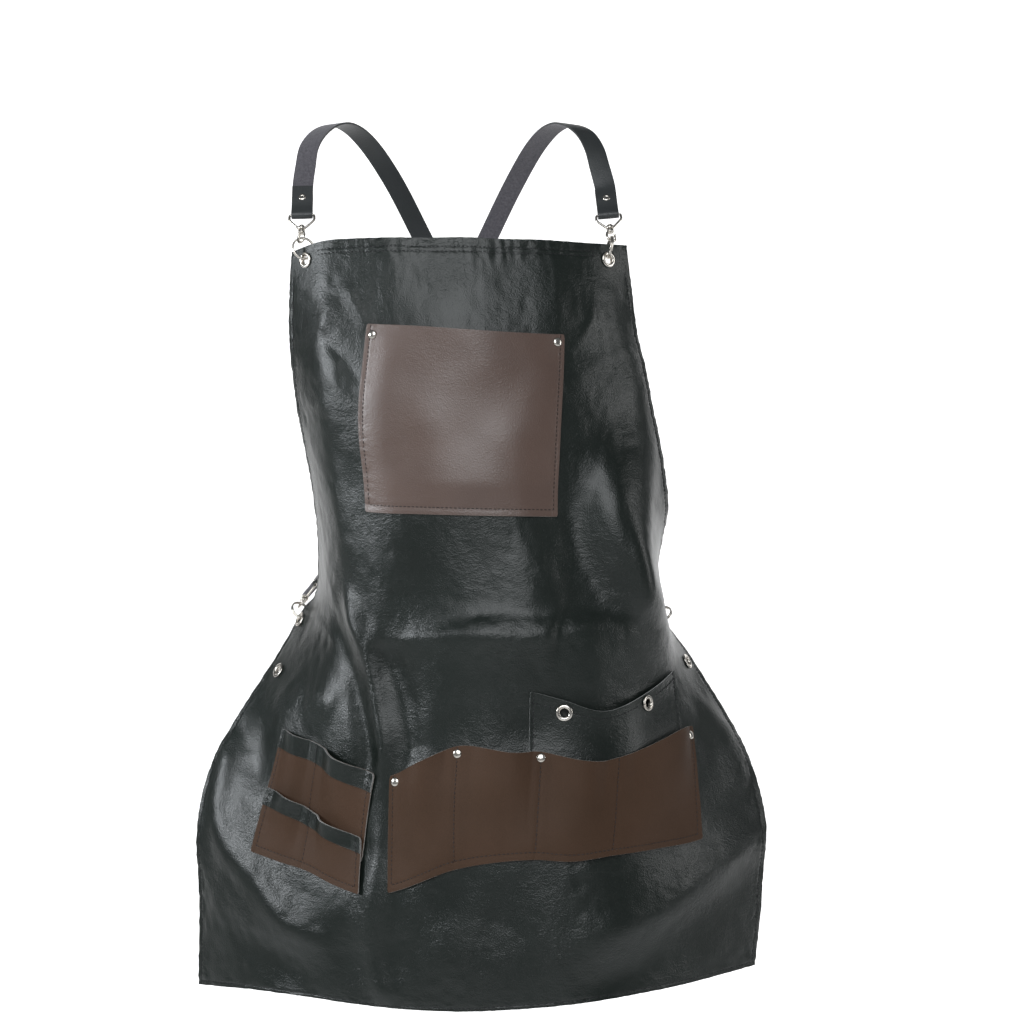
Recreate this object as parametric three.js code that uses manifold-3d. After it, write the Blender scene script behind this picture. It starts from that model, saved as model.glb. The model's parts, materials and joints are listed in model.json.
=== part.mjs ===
// A cross-back leather work apron with riveted tool pockets, as it hangs when it is worn.
// Millimetres, +Z up, the front faces -Y. The origin is the point midway between
// the tops of the two shoulder straps.
import * as THREE from "three";
import { mergeVertices } from "three/addons/utils/BufferGeometryUtils.js";
import Module from "manifold-3d";

const wasm = await Module();
wasm.setup();

// ---------------------------------------------------------------- driving dimensions
const APRON_LENGTH = 750;
const PANEL_THICK = 1.4;
const PANEL_COLUMNS = 26;
const PANEL_ROWS = 30;
const POCKET_THICK = 1.2;
const SEAM_LIFT = 2.4; // middle of a pocket's sewn edge in front of the middle of the panel
const LAYER_STEP = 2.2; // between the middles of two pocket sheets sewn one on the other
const MOUTH_BULGE = 9; // how far a pocket mouth stands open
const MOUTH_ROUNDING = 1.25; // 1 is a sine along the mouth
const MOUTH_TAPER = 1.2; // 1 closes evenly from the mouth to the bottom seam
const SEAM_FLAT = 12; // sewn flat on each side of a seam
const BAND_STEP = 2.1; // a facing band's middle in front of its pocket's
const BAND_HEIGHT = 17;

const STRAP_WIDTH = 20;
const STRAP_THICK = 2.2;
const FLAP_LENGTH = 32;

const EYELET_HOLE_R = 4;
const EYELET_BARREL_R = 4.9;
const EYELET_FLANGE_R = 7.5;
const EYELET_FLANGE_THICK = 0.8;
const EYELET_GRIP = 1.4; // from the middle of the leather to the underside of a flange
const EYELET_SEAT_R = 5.3; // the hole in the leather

const RIVET_CAP_R = 4.1;
const RIVET_SHANK_R = 1.5;
const RIVET_HOLE_R = 1.9;
const RIVET_DOME = 1.5;
const RIVET_CLEARANCE = 0.5;

const RING_R = 10.5; // centre line of the split ring
const WIRE_R = 1;
const RING_OFFSET = 1.6; // ring wire above the centre of the eyelet's hole

const LOOP_BAR_R = 1.2;
const HOOK_BAR = -3.9; // the hook's toe, below the ring's top wire
const COLLAR_LOW = 5.2;
const COLLAR_TOP = 8.6;
const BOSS_LOW = 9.1;
const BOSS_TOP = 12.6;
const LOOP_TOP = 26; // the bar that the strap folds round, above the ring's top wire
const GAP = 0.3; // between pieces that touch

// ---------------------------------------------------------------- materials
const finish = (color, roughness, metalness) =>
  new THREE.MeshStandardMaterial({ color, roughness, metalness });
const BLACK_LEATHER = finish(0x2b2e2b, 0.36, 0);
const BROWN_LEATHER = finish(0x5a463c, 0.6, 0);
const STRAP_LEATHER = finish(0x3c3e3e, 0.5, 0);
const NICKEL = finish(0xc9c5bb, 0.25, 1);

// ---------------------------------------------------------------- the hanging panel
// Nine points across the leather, from its left edge to its right, at each distance down it.
// half is half the width of the cut sheet there.
const LEVELS = [
  { down: 0, half: 168, line: [[-150, -58, -137], [-116, -84, -130], [-72, -101, -130], [-30, -109, -131],
    [10, -112, -131], [49, -109, -132], [89, -100, -132], [129, -84, -132], [169, -60, -131]] },
  { down: 80, half: 180, line: [[-154, -48, -203], [-119, -84, -206], [-71, -110, -208], [-26, -121, -210],
    [16, -125, -212], [58, -122, -213], [101, -112, -212], [142, -88, -208], [178, -50, -201]] },
  { down: 170, half: 198, line: [[-148, -32, -284], [-120, -76, -291], [-73, -111, -297], [-29, -126, -299],
    [16, -131, -301], [60, -129, -301], [104, -118, -299], [152, -92, -292], [194, -42, -281]] },
  { down: 260, half: 230, line: [[-135, -10, -368], [-113, -66, -380], [-70, -106, -387], [-24, -126, -389],
    [20, -133, -390], [64, -131, -390], [112, -116, -389], [166, -118, -384], [210, -40, -370]] },
  { down: 335, half: 275, line: [[-131, 14, -452], [-116, -46, -462], [-82, -94, -467], [-32, -118, -469],
    [22, -134, -468], [76, -137, -466], [136, -118, -463], [194, -106, -457], [202, -5, -446]] },
  { down: 380, half: 325, line: [[-152, 32, -487], [-128, -28, -508], [-94, -80, -522], [-46, -108, -519],
    [15, -140, -504], [78, -145, -500], [144, -126, -497], [204, -72, -494], [208, 16, -486]] },
  { down: 450, half: 325, line: [[-189, 30, -551], [-155, -32, -578], [-104, -82, -600], [-51, -112, -594],
    [11, -136, -582], [76, -140, -576], [144, -126, -571], [208, -68, -552], [239, 9, -532]] },
  { down: 530, half: 325, line: [[-236, 12, -630], [-182, -34, -656], [-120, -75, -676], [-57, -114, -676],
    [8, -146, -652], [76, -151, -645], [144, -142, -645], [212, -98, -642], [288, 8, -614]] },
  { down: 600, half: 325, line: [[-250, 0, -700], [-192, -48, -724], [-127, -90, -739], [-61, -124, -743],
    [9, -154, -720], [76, -161, -710], [142, -156, -706], [217, -108, -704], [307, -12, -684]] },
  { down: 680, half: 325, line: [[-248, 0, -778], [-189, -56, -788], [-126, -98, -793], [-61, -126, -799],
    [9, -160, -782], [76, -168, -774], [142, -160, -769], [217, -112, -762], [302, -30, -758]] },
  { down: APRON_LENGTH, half: 325, line: [[-248, -2, -850], [-184, -62, -840], [-120, -100, -838],
    [-58, -130, -838], [9, -160, -834], [76, -168, -829], [144, -158, -824], [217, -112, -822],
    [293, -42, -821]] },
];
const STATIONS = LEVELS[0].line.length;

// Catmull-Rom weights of the points around place s in a row of count points.
function splineWeights(s, count) {
  const i = Math.min(Math.max(Math.floor(s), 0), count - 2);
  const f = s - i;
  return [
    [Math.max(i - 1, 0), -0.5 * f + f * f - 0.5 * f ** 3],
    [i, 1 - 2.5 * f * f + 1.5 * f ** 3],
    [i + 1, 0.5 * f + 2 * f * f - 1.5 * f ** 3],
    [Math.min(i + 2, count - 1), -0.5 * f * f + 0.5 * f ** 3],
  ];
}

function levelAt(down) {
  let i = 0;
  while (i < LEVELS.length - 2 && LEVELS[i + 1].down < down) i += 1;
  return i + (down - LEVELS[i].down) / (LEVELS[i + 1].down - LEVELS[i].down);
}

function halfWidthAt(down) {
  const weights = splineWeights(levelAt(down), LEVELS.length);
  return weights.reduce((sum, [row, w]) => sum + w * LEVELS[row].half, 0);
}

// A point of the leather's middle surface from its place on the flat sheet.
function drapePoint(across, down) {
  const u = ((across / halfWidthAt(down) + 1) / 2) * (STATIONS - 1);
  const point = new THREE.Vector3();
  for (const [row, wRow] of splineWeights(levelAt(down), LEVELS.length)) {
    for (const [col, wCol] of splineWeights(u, STATIONS)) {
      point.addScaledVector(new THREE.Vector3(...LEVELS[row].line[col]), wRow * wCol);
    }
  }
  return point;
}

function drapeNormal(across, down) {
  const step = 2;
  const sideways = drapePoint(across + step, down).sub(drapePoint(across - step, down));
  const low = drapePoint(across, Math.min(down + step, APRON_LENGTH));
  const downwards = low.sub(drapePoint(across, Math.max(down - step, 0)));
  return downwards.cross(sideways).normalize();
}

function liftedPoint(across, down, lift) {
  return drapePoint(across, down).addScaledVector(drapeNormal(across, down), lift);
}

// ---------------------------------------------------------------- solids
const UP_Y = new THREE.Vector3(0, 1, 0);

const toSolid = (geometry) => {
  const bare = geometry.clone();
  bare.deleteAttribute("normal");
  bare.deleteAttribute("uv");
  const merged = mergeVertices(bare, 1e-4);
  return new wasm.Manifold(
    new wasm.Mesh({
      numProp: 3,
      vertProperties: merged.attributes.position.array,
      triVerts: new Uint32Array(merged.index.array),
    }),
  );
};

const toGeometry = (solid) => {
  const mesh = solid.getMesh();
  const geometry = new THREE.BufferGeometry();
  geometry.setAttribute("position", new THREE.BufferAttribute(mesh.vertProperties, 3));
  geometry.setIndex(new THREE.BufferAttribute(mesh.triVerts, 1));
  geometry.computeVertexNormals();
  return geometry;
};

const apron = new THREE.Group();
function add(name, geometry, material, parent = apron) {
  const mesh = new THREE.Mesh(geometry, material);
  mesh.name = name;
  parent.add(mesh);
  return mesh;
}

// A thin closed sheet over a grid: place(a, b) gives the middle point and the front normal.
function sheet(columns, rows, place, thick) {
  const front = [];
  const back = [];
  for (let j = 0; j <= rows; j += 1) {
    for (let i = 0; i <= columns; i += 1) {
      const { point, normal } = place(i / columns, j / rows);
      front.push(point.clone().addScaledVector(normal, thick / 2));
      back.push(point.clone().addScaledVector(normal, -thick / 2));
    }
  }
  const count = front.length;
  const index = [];
  const at = (i, j) => j * (columns + 1) + i;
  const rim = (p, q) => index.push(p, q, q + count, p, q + count, p + count);
  for (let j = 0; j < rows; j += 1) {
    for (let i = 0; i < columns; i += 1) {
      const [a, b, c, d] = [at(i, j), at(i + 1, j), at(i + 1, j + 1), at(i, j + 1)];
      index.push(a, d, c, a, c, b);
      index.push(a + count, c + count, d + count, a + count, b + count, c + count);
      if (j === 0) rim(a, b);
      if (j === rows - 1) rim(c, d);
      if (i === 0) rim(d, a);
      if (i === columns - 1) rim(b, c);
    }
  }
  const geometry = new THREE.BufferGeometry().setFromPoints([...front, ...back]);
  geometry.setIndex(index);
  geometry.computeVertexNormals();
  return geometry;
}

// A punch through leather at a point, along a normal. It also presses flat what would stand
// above the fastener's head in front and behind: front and back are how far off those heads sit.
const PUNCH_LENGTH = 12;
function punch(point, normal, radius, headRadius = 0, front = 0, back = 0) {
  const disc = (r, from, to) => {
    const cylinder = new THREE.CylinderGeometry(r, r, to - from, 12);
    cylinder.translate(0, (from + to) / 2, 0);
    cylinder.applyQuaternion(new THREE.Quaternion().setFromUnitVectors(UP_Y, normal));
    cylinder.translate(...point.toArray());
    return toSolid(cylinder);
  };
  const bore = disc(radius, -PUNCH_LENGTH, PUNCH_LENGTH * 2);
  if (!headRadius) return bore;
  const under = disc(headRadius + GAP, front - GAP, front + PUNCH_LENGTH / 2);
  return bore.add(under).add(disc(headRadius + GAP, -back - PUNCH_LENGTH / 2, GAP - back));
}

function punched(geometry, tools) {
  let solid = toSolid(geometry);
  for (const tool of tools) solid = solid.subtract(tool);
  return toGeometry(solid);
}

// ---------------------------------------------------------------- where the fasteners sit
const EYELETS = {
  eyelet_bib_left: { across: -147, down: 21 },
  eyelet_bib_right: { across: 146, down: 22 },
  eyelet_waist_left: { across: -311, down: 384 },
  eyelet_waist_right: { across: 309, down: 388 },
  eyelet_side_left: { across: -296, down: 434 },
  eyelet_side_right: { across: 301, down: 445 },
};
// On a pocket, by the fraction along it and the fraction down it.
const BIB_RIVETS = { bib_rivet_left: [0.055, 0.06], bib_rivet_right: [0.94, 0.045] };
const TOOL_RIVETS = {
  tool_rivet_1: [0.03, 0.065],
  tool_rivet_2: [0.24, 0.065],
  tool_rivet_3: [0.5, 0.06],
  tool_rivet_4: [0.968, 0.065],
};
const POCKET_EYELETS = { eyelet_pocket_left: [0.235, 0.07], eyelet_pocket_right: [0.735, 0.075] };

// ---------------------------------------------------------------- pockets
// top and bottom are edges as [across, down] points; seams are fractions of the width
// where the pocket is sewn to the panel, so a mouth opens between each two.
const edgeAt = (points, a) => {
  const s = a * (points.length - 1);
  return splineWeights(s, points.length).reduce(
    ([x, y], [i, w]) => [x + w * points[i][0], y + w * points[i][1]],
    [0, 0],
  );
};

const between = (x, low, high) => Math.min(Math.max((x - low) / (high - low), 0), 1);

// 0 along the seams and 1 in the middle of each mouth.
function mouthShape({ seams, width }, a) {
  for (let k = 1; k < seams.length; k += 1) {
    if (a <= seams[k]) {
      const span = seams[k] - seams[k - 1];
      const flat = SEAM_FLAT / (width * span);
      const f = between((a - seams[k - 1]) / span, flat, 1 - flat);
      return Math.sin(Math.PI * f) ** MOUTH_ROUNDING;
    }
  }
  return 0;
}

const BIB_POCKET = {
  top: [[-93, 83], [2, 88], [97, 90]],
  bottom: [[-121, 258], [-8, 258], [103, 260]],
  seams: [0, 1],
  width: 190,
  columns: 12,
  rows: 7,
  floor: () => 0,
};
const TOOL_POCKET_BLACK = {
  top: [[81, 425], [120, 434], [160, 446], [209, 442], [257, 437]],
  bottom: [[81, 574], [125, 576], [169, 575], [213, 572], [257, 574]],
  seams: [0, 1],
  width: 176,
  columns: 12,
  rows: 7,
  floor: () => 0,
};
// How far the black pocket holds the brown one in front of it off the panel.
function blackLift(across, down) {
  const { top, bottom } = TOOL_POCKET_BLACK;
  const a = between(across, top[0][0], top[4][0]);
  const b = between(down, top[2][1] - 6, bottom[2][1]);
  const cover = between(across, top[0][0] - 26, top[0][0] - 5);
  return cover * (LAYER_STEP + MOUTH_BULGE * mouthShape(TOOL_POCKET_BLACK, a) * (1 - b) ** MOUTH_TAPER);
}

const TOOL_POCKET = {
  top: [[-78, 484], [-38, 477], [5, 468], [61, 480], [94, 481], [140, 493], [174, 493],
    [239, 486], [266, 490]],
  bottom: [[-71, 592], [-36, 590], [3, 587], [50, 586], [87, 587], [128, 591], [170, 588],
    [222, 585], [260, 589]],
  seams: [0, 0.24, 0.5, 0.75, 1],
  width: 340,
  columns: 26,
  rows: 6,
  floor: blackLift,
};
const HIP_UPPER = {
  top: [[-241, 467], [-212, 462], [-182, 460], [-148, 466], [-99, 481]],
  bottom: [[-233, 552], [-201, 548], [-169, 550], [-137, 556], [-105, 562]],
  seams: [0, 0.46, 1],
  width: 142,
  columns: 12,
  rows: 6,
  floor: () => 0,
};
const HIP_LOWER = {
  top: [[-231, 520], [-195, 518], [-168, 523], [-144, 530], [-106, 539]],
  bottom: [[-239, 585], [-205, 583], [-170, 582], [-137, 588], [-102, 593]],
  seams: [0, 0.46, 1],
  width: 130,
  columns: 12,
  rows: 5,
  floor: (across, down) => LAYER_STEP + 2.2 * (1 - between(down, 520, 548)),
};

// The place on the flat sheet, and the lift off the panel, at a along a pocket and b down it.
function pocketSpot(pocket, a, b, extra = 0) {
  const [topAcross, topDown] = edgeAt(pocket.top, a);
  const [lowAcross, lowDown] = edgeAt(pocket.bottom, a);
  const across = topAcross + (lowAcross - topAcross) * b;
  const down = topDown + (lowDown - topDown) * b;
  const bulge = MOUTH_BULGE * mouthShape(pocket, a) * (1 - b) ** MOUTH_TAPER;
  return { across, down, lift: SEAM_LIFT + pocket.floor(across, down) + bulge + extra };
}

function onPocket(pocket, a, b, extra = 0) {
  const { across, down, lift } = pocketSpot(pocket, a, b, extra);
  return { point: liftedPoint(across, down, lift), normal: drapeNormal(across, down) };
}

// The pocket's own normal, which leans where its mouth bulges.
function pocketNormal(pocket, a, b) {
  const step = 0.02;
  const along = onPocket(pocket, a + step, b).point.sub(onPocket(pocket, a - step, b).point);
  const downwards = onPocket(pocket, a, b + step).point.sub(onPocket(pocket, a, b - step).point);
  return downwards.cross(along).normalize();
}

const pocketSheet = (pocket, tools = []) =>
  punched(
    sheet(pocket.columns, pocket.rows, (a, b) => onPocket(pocket, a, b), POCKET_THICK),
    tools,
  );

// A facing strip sewn along a pocket's mouth.
function pocketBand(pocket) {
  const depth = pocket.bottom[2][1] - pocket.top[2][1];
  const place = (a, b) => onPocket(pocket, a, (b * BAND_HEIGHT) / depth, BAND_STEP);
  return sheet(pocket.columns, 2, place, POCKET_THICK);
}

// Holes along the panel's own normal, so that one fastener goes through every layer.
const eyeletPunch = (point, normal) =>
  punch(point, normal, EYELET_SEAT_R, EYELET_FLANGE_R, EYELET_GRIP, EYELET_GRIP);
const eyeletHoles = Object.values(EYELETS).map(({ across, down }) =>
  eyeletPunch(drapePoint(across, down), drapeNormal(across, down)),
);
const rivetSeat = (pocket, a, b) => pocketSpot(pocket, a, b).lift + POCKET_THICK / 2 + RIVET_CLEARANCE;
const rivetHoles = (pocket, spots) =>
  Object.values(spots).map(([a, b]) => {
    const { across, down } = pocketSpot(pocket, a, b);
    const back = PANEL_THICK / 2 + RIVET_CLEARANCE;
    const [point, normal] = [drapePoint(across, down), drapeNormal(across, down)];
    return punch(point, normal, RIVET_HOLE_R, RIVET_CAP_R, rivetSeat(pocket, a, b), back);
  });
const bibHoles = rivetHoles(BIB_POCKET, BIB_RIVETS);
const toolHoles = rivetHoles(TOOL_POCKET, TOOL_RIVETS);
const pocketEyeletHoles = Object.values(POCKET_EYELETS).map(([a, b]) =>
  eyeletPunch(onPocket(TOOL_POCKET_BLACK, a, b).point, pocketNormal(TOOL_POCKET_BLACK, a, b)),
);

// The panel is one piece of leather. Its solid is parted along grid lines, GAP apart, so that
// each part is nearly flat. Each range is of the grid's columns or rows.
const PANEL_PARTS = {
  apron_panel_bib_top: { columns: [0, 26], rows: [0, 7] },
  apron_panel_bib_low: { columns: [0, 26], rows: [7, 12] },
  apron_panel_hip_left: { columns: [0, 7], rows: [12, 22] },
  apron_panel_waist: { columns: [7, 19], rows: [12, 22] },
  apron_panel_hip_right: { columns: [19, 26], rows: [12, 22] },
  apron_panel_skirt_left: { columns: [0, 7], rows: [22, 30] },
  apron_panel_skirt_middle: { columns: [7, 19], rows: [22, 30] },
  apron_panel_skirt_right: { columns: [19, 26], rows: [22, 30] },
};

// An end of a part that faces another part draws back by half the gap.
function drawnBack(f, [from, to], count) {
  if (f === 0 && from > 0) return GAP / 2;
  return f === 1 && to < count ? -GAP / 2 : 0;
}

function panelPart({ columns, rows }) {
  const inRange = ([from, to], f) => from + (to - from) * f;
  const place = (a, b) => {
    const down = (inRange(rows, b) / PANEL_ROWS) * APRON_LENGTH;
    const across = ((2 * inRange(columns, a)) / PANEL_COLUMNS - 1) * halfWidthAt(down);
    const point = drapePoint(
      across + drawnBack(a, columns, PANEL_COLUMNS),
      down + drawnBack(b, rows, PANEL_ROWS),
    );
    return { point, normal: drapeNormal(across, down) };
  };
  return sheet(columns[1] - columns[0], rows[1] - rows[0], place, PANEL_THICK);
}

for (const [name, part] of Object.entries(PANEL_PARTS)) {
  add(name, punched(panelPart(part), [...eyeletHoles, ...bibHoles, ...toolHoles]), BLACK_LEATHER);
}
add("bib_pocket", pocketSheet(BIB_POCKET, bibHoles), BROWN_LEATHER);
add(
  "tool_pocket_black",
  pocketSheet(TOOL_POCKET_BLACK, [...pocketEyeletHoles, ...toolHoles]),
  BLACK_LEATHER,
);
add("tool_pocket_brown", pocketSheet(TOOL_POCKET, toolHoles), BROWN_LEATHER);
add("hip_pocket_upper", pocketSheet(HIP_UPPER), BROWN_LEATHER);
add("hip_pocket_upper_band", pocketBand(HIP_UPPER), BLACK_LEATHER);
add("hip_pocket_lower", pocketSheet(HIP_LOWER), BROWN_LEATHER);
add("hip_pocket_lower_band", pocketBand(HIP_LOWER), BLACK_LEATHER);

// ---------------------------------------------------------------- eyelets and rivets
// Turns a closed [radius, height] outline about the local Y axis.
const turned = (outline, sides) =>
  new THREE.LatheGeometry(outline.map(([r, y]) => new THREE.Vector2(r, y)), sides);

function eyeletGeometry() {
  const top = EYELET_GRIP + EYELET_FLANGE_THICK;
  const outline = [
    [EYELET_HOLE_R, top],
    [EYELET_HOLE_R, -top],
    [EYELET_FLANGE_R - 0.3, -top],
    [EYELET_FLANGE_R - 0.3, -EYELET_GRIP],
    [EYELET_BARREL_R, -EYELET_GRIP],
    [EYELET_BARREL_R, EYELET_GRIP],
    [EYELET_FLANGE_R, EYELET_GRIP],
    [EYELET_FLANGE_R - 0.5, top],
    [EYELET_HOLE_R, top],
  ];
  return turned(outline, 14);
}

function rivetGeometry(frontSeat, backSeat) {
  const outline = [
    [0, -backSeat - 0.9],
    [RIVET_CAP_R - 0.6, -backSeat - 0.9],
    [RIVET_CAP_R - 0.3, -backSeat],
    [RIVET_SHANK_R, -backSeat],
    [RIVET_SHANK_R, frontSeat],
    [RIVET_CAP_R, frontSeat],
    [RIVET_CAP_R - 0.2, frontSeat + 0.5],
    [RIVET_CAP_R * 0.6, frontSeat + RIVET_DOME * 0.85],
    [0, frontSeat + RIVET_DOME],
  ];
  return turned(outline, 10);
}

function seatOn(mesh, point, normal) {
  mesh.position.copy(point);
  mesh.quaternion.setFromUnitVectors(UP_Y, normal);
}

for (const [name, { across, down }] of Object.entries(EYELETS)) {
  seatOn(add(name, eyeletGeometry(), NICKEL), drapePoint(across, down), drapeNormal(across, down));
}
for (const [name, [a, b]] of Object.entries(POCKET_EYELETS)) {
  const { point } = onPocket(TOOL_POCKET_BLACK, a, b);
  seatOn(add(name, eyeletGeometry(), NICKEL), point, pocketNormal(TOOL_POCKET_BLACK, a, b));
}
function addRivets(pocket, spots) {
  for (const [name, [a, b]] of Object.entries(spots)) {
    const { across, down } = pocketSpot(pocket, a, b);
    const backSeat = PANEL_THICK / 2 + RIVET_CLEARANCE;
    const rivet = add(name, rivetGeometry(rivetSeat(pocket, a, b), backSeat), NICKEL);
    seatOn(rivet, drapePoint(across, down), drapeNormal(across, down));
  }
}
addRivets(BIB_POCKET, BIB_RIVETS);
addRivets(TOOL_POCKET, TOOL_RIVETS);

// ---------------------------------------------------------------- hardware at a strap's end
// Each end has its own frame at the top wire of its ring: local Z along the pull of the strap,
// local X across the strap, local Y towards the body.
const ROUND = 6;

function rod(from, to, radius, sides = ROUND) {
  const axis = new THREE.Vector3().subVectors(to, from);
  const cylinder = new THREE.CylinderGeometry(radius, radius, axis.length(), sides);
  cylinder.applyQuaternion(new THREE.Quaternion().setFromUnitVectors(UP_Y, axis.normalize()));
  cylinder.translate(...new THREE.Vector3().addVectors(from, to).multiplyScalar(0.5).toArray());
  return toSolid(cylinder);
}

const ball = (at, radius) => {
  const sphere = new THREE.SphereGeometry(radius, ROUND, 4);
  sphere.translate(...at.toArray());
  return toSolid(sphere);
};

const joined = (solids) => toGeometry(solids.reduce((whole, part) => whole.add(part)));

function wire(points, radius, steps, closed = false) {
  const section = new THREE.Shape().absarc(0, 0, radius, 0, 2 * Math.PI);
  const path = new THREE.CatmullRomCurve3(points, closed);
  return new THREE.ExtrudeGeometry(section, { steps, curveSegments: 3, extrudePath: path });
}

const v = (x, y, z) => new THREE.Vector3(x, y, z);

// A swivel hook: a bent wire below a collar, with a post and its head in the loop above.
const HOOK_HALF = 4.6;
function hookGeometry() {
  const bend = wire(
    [
      v(-1, 0, COLLAR_LOW + 1),
      v(-3.6, 0, COLLAR_LOW - 0.6),
      v(-HOOK_HALF, 0, 1),
      v(-HOOK_HALF + 0.5, 0, -2.6),
      v(-1.6, 0, HOOK_BAR - 0.1),
      v(1.4, 0, HOOK_BAR - 0.1),
      v(3.8, 0, -3.4),
      v(HOOK_HALF, 0, -1.8),
    ],
    LOOP_BAR_R,
    11,
  );
  const collar = rod(v(0, 0, COLLAR_LOW), v(0, 0, COLLAR_TOP), 3.3, 8);
  const post = rod(v(0, 0, COLLAR_TOP - 1), v(0, 0, BOSS_TOP + 1), 1.5);
  const head = rod(v(0, 0, BOSS_TOP + GAP), v(0, 0, BOSS_TOP + 1.6), 2.7);
  return joined([toSolid(bend), collar, post, head]);
}

// The sprung gate that closes the hook, from under the collar to the hook's tip.
const GATE_PIVOT = v(HOOK_HALF - 0.4, 0, COLLAR_LOW - 2);
const GATE_TIP = v(HOOK_HALF, 0, -0.2);
const gateGeometry = () => joined([rod(GATE_PIVOT, GATE_TIP, 0.9, 8), ball(GATE_PIVOT, 1.3)]);

// The trapezoid loop that the strap folds round, with the boss that the hook's post turns in.
const LOOP_HALF = 11.9;
function loopGeometry() {
  const middle = (BOSS_LOW + BOSS_TOP) / 2;
  const side = [v(2.9, 0, middle), v(7.4, 0, 15.6), v(LOOP_HALF, 0, 20.5), v(LOOP_HALF, 0, 24.8)];
  const corner = v(LOOP_HALF - 1.2, 0, LOOP_TOP);
  const right = [...side, corner, v(5, 0, LOOP_TOP)];
  const left = right.map(({ x, z }) => v(-x, 0, z)).reverse();
  const bow = toSolid(wire([...right, ...left], LOOP_BAR_R, 20));
  const boss = rod(v(0, 0, BOSS_LOW), v(0, 0, BOSS_TOP), 3.6, 8);
  const bore = rod(v(0, 0, BOSS_LOW - 1), v(0, 0, BOSS_TOP + 1), 1.5 + GAP + 0.2, 8);
  return toGeometry(bow.add(boss).subtract(bore));
}

// pull is where the strap leads, out is away from the body, ringTurn turns the ring's plane from
// square to the leather, and hookTurn turns the hook about its post.
const STRAP_ENDS = {
  front_left: { eyelet: "eyelet_bib_left", pull: v(-141, -50, -90), ringTurn: -26, hookTurn: -45 },
  front_right: { eyelet: "eyelet_bib_right", pull: v(151, -50, -90), ringTurn: -26, hookTurn: 30 },
  waist_left: { eyelet: "eyelet_waist_left", pull: v(-147, 60, -467), ringTurn: 0, hookTurn: 0 },
  waist_right: { eyelet: "eyelet_waist_right", pull: v(200, 52, -464), ringTurn: 0, hookTurn: 0 },
};

for (const [place, end] of Object.entries(STRAP_ENDS)) {
  const { across, down } = EYELETS[end.eyelet];
  const hole = drapePoint(across, down);
  const out = drapeNormal(across, down);
  const pull = end.pull.clone().sub(hole);
  const up = pull.clone().addScaledVector(out, -pull.dot(out)).normalize();
  const ringCentre = hole.clone().addScaledVector(up, RING_OFFSET + RING_R);
  const through = out.clone().applyAxisAngle(up, THREE.MathUtils.degToRad(end.ringTurn));

  const ring = new THREE.TorusGeometry(RING_R, WIRE_R, 6, 20);
  const ringMesh = add(`split_ring_${place}`, ring, NICKEL);
  const ringAxis = new THREE.Vector3().crossVectors(through, up);
  ringMesh.setRotationFromMatrix(new THREE.Matrix4().makeBasis(through, up, ringAxis));
  ringMesh.position.copy(ringCentre);

  end.top = ringCentre.clone().addScaledVector(up, RING_R);
  end.z = end.pull.clone().sub(end.top).normalize();
  const outwards = place.startsWith("front") ? v(0, -1, 0) : out;
  end.x = new THREE.Vector3().crossVectors(end.z, outwards).normalize();
  end.y = new THREE.Vector3().crossVectors(end.z, end.x);
  const frame = new THREE.Group();
  frame.position.copy(end.top);
  frame.setRotationFromMatrix(new THREE.Matrix4().makeBasis(end.x, end.y, end.z));
  apron.add(frame);
  add(`strap_loop_${place}`, loopGeometry(), NICKEL, frame);
  const swivel = new THREE.Group();
  swivel.rotation.z = THREE.MathUtils.degToRad(end.hookTurn);
  frame.add(swivel);
  add(`swivel_hook_${place}`, hookGeometry(), NICKEL, swivel);
  add(`hook_gate_${place}`, gateGeometry(), NICKEL, swivel);
}

// A tube rivet: a ring-shaped head on each side of the two layers.
const STRAP_RIVET_PLACE = 19;
const STRAP_RIVET_HOLE_R = 2.4;
const TUBE_OUT_R = 1.9;
const TUBE_IN_R = 1.1;
const TUBE_HEAD_R = 3.5;
function tubularRivetGeometry() {
  const seat = STRAP_THICK + GAP * 2;
  const top = seat + 0.7;
  const outline = [
    [TUBE_IN_R, top],
    [TUBE_IN_R, -top],
    [TUBE_HEAD_R, -top],
    [TUBE_HEAD_R, -seat],
    [TUBE_OUT_R, -seat],
    [TUBE_OUT_R, seat],
    [TUBE_HEAD_R, seat],
    [TUBE_HEAD_R - 0.3, top],
    [TUBE_IN_R, top],
  ];
  return turned(outline, 12);
}

// ---------------------------------------------------------------- straps
// A ribbon through stations, each a centre point and the direction across the ribbon.
function ribbon(stations) {
  const last = stations.length - 1;
  const place = (a, b) => {
    const i = Math.round(b * last);
    const { at, across } = stations[i];
    const tangent = stations[Math.min(i + 1, last)].at.clone().sub(stations[Math.max(i - 1, 0)].at);
    const normal = tangent.cross(across).normalize();
    return { point: at.clone().addScaledVector(across, (a - 0.5) * STRAP_WIDTH), normal };
  };
  return sheet(1, last, place, STRAP_THICK);
}

// The stations of a strap's end, from the flap's tip, round its bar, to where the strap leaves.
// flapSide is 1 when the flap lies on the outside and -1 when it lies next to the body.
const FOLD_R = LOOP_BAR_R + GAP + STRAP_THICK / 2;
const FLAP_OFFSET = STRAP_THICK / 2 + GAP;
function foldedEnd(bar, pull, out, across, flapSide) {
  const station = (along, away) => ({
    at: bar.clone().addScaledVector(pull, along).addScaledVector(out, away * flapSide),
    across,
  });
  const stations = [FLAP_LENGTH, 20, 9].map((along) => station(along, FLAP_OFFSET));
  for (let turn = 0; turn <= 180; turn += 30) {
    const angle = THREE.MathUtils.degToRad(turn);
    stations.push(station(-FOLD_R * Math.sin(angle), FOLD_R * Math.cos(angle)));
  }
  stations.push(station(9, -FLAP_OFFSET), station(20, -FLAP_OFFSET));
  return stations;
}

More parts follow.
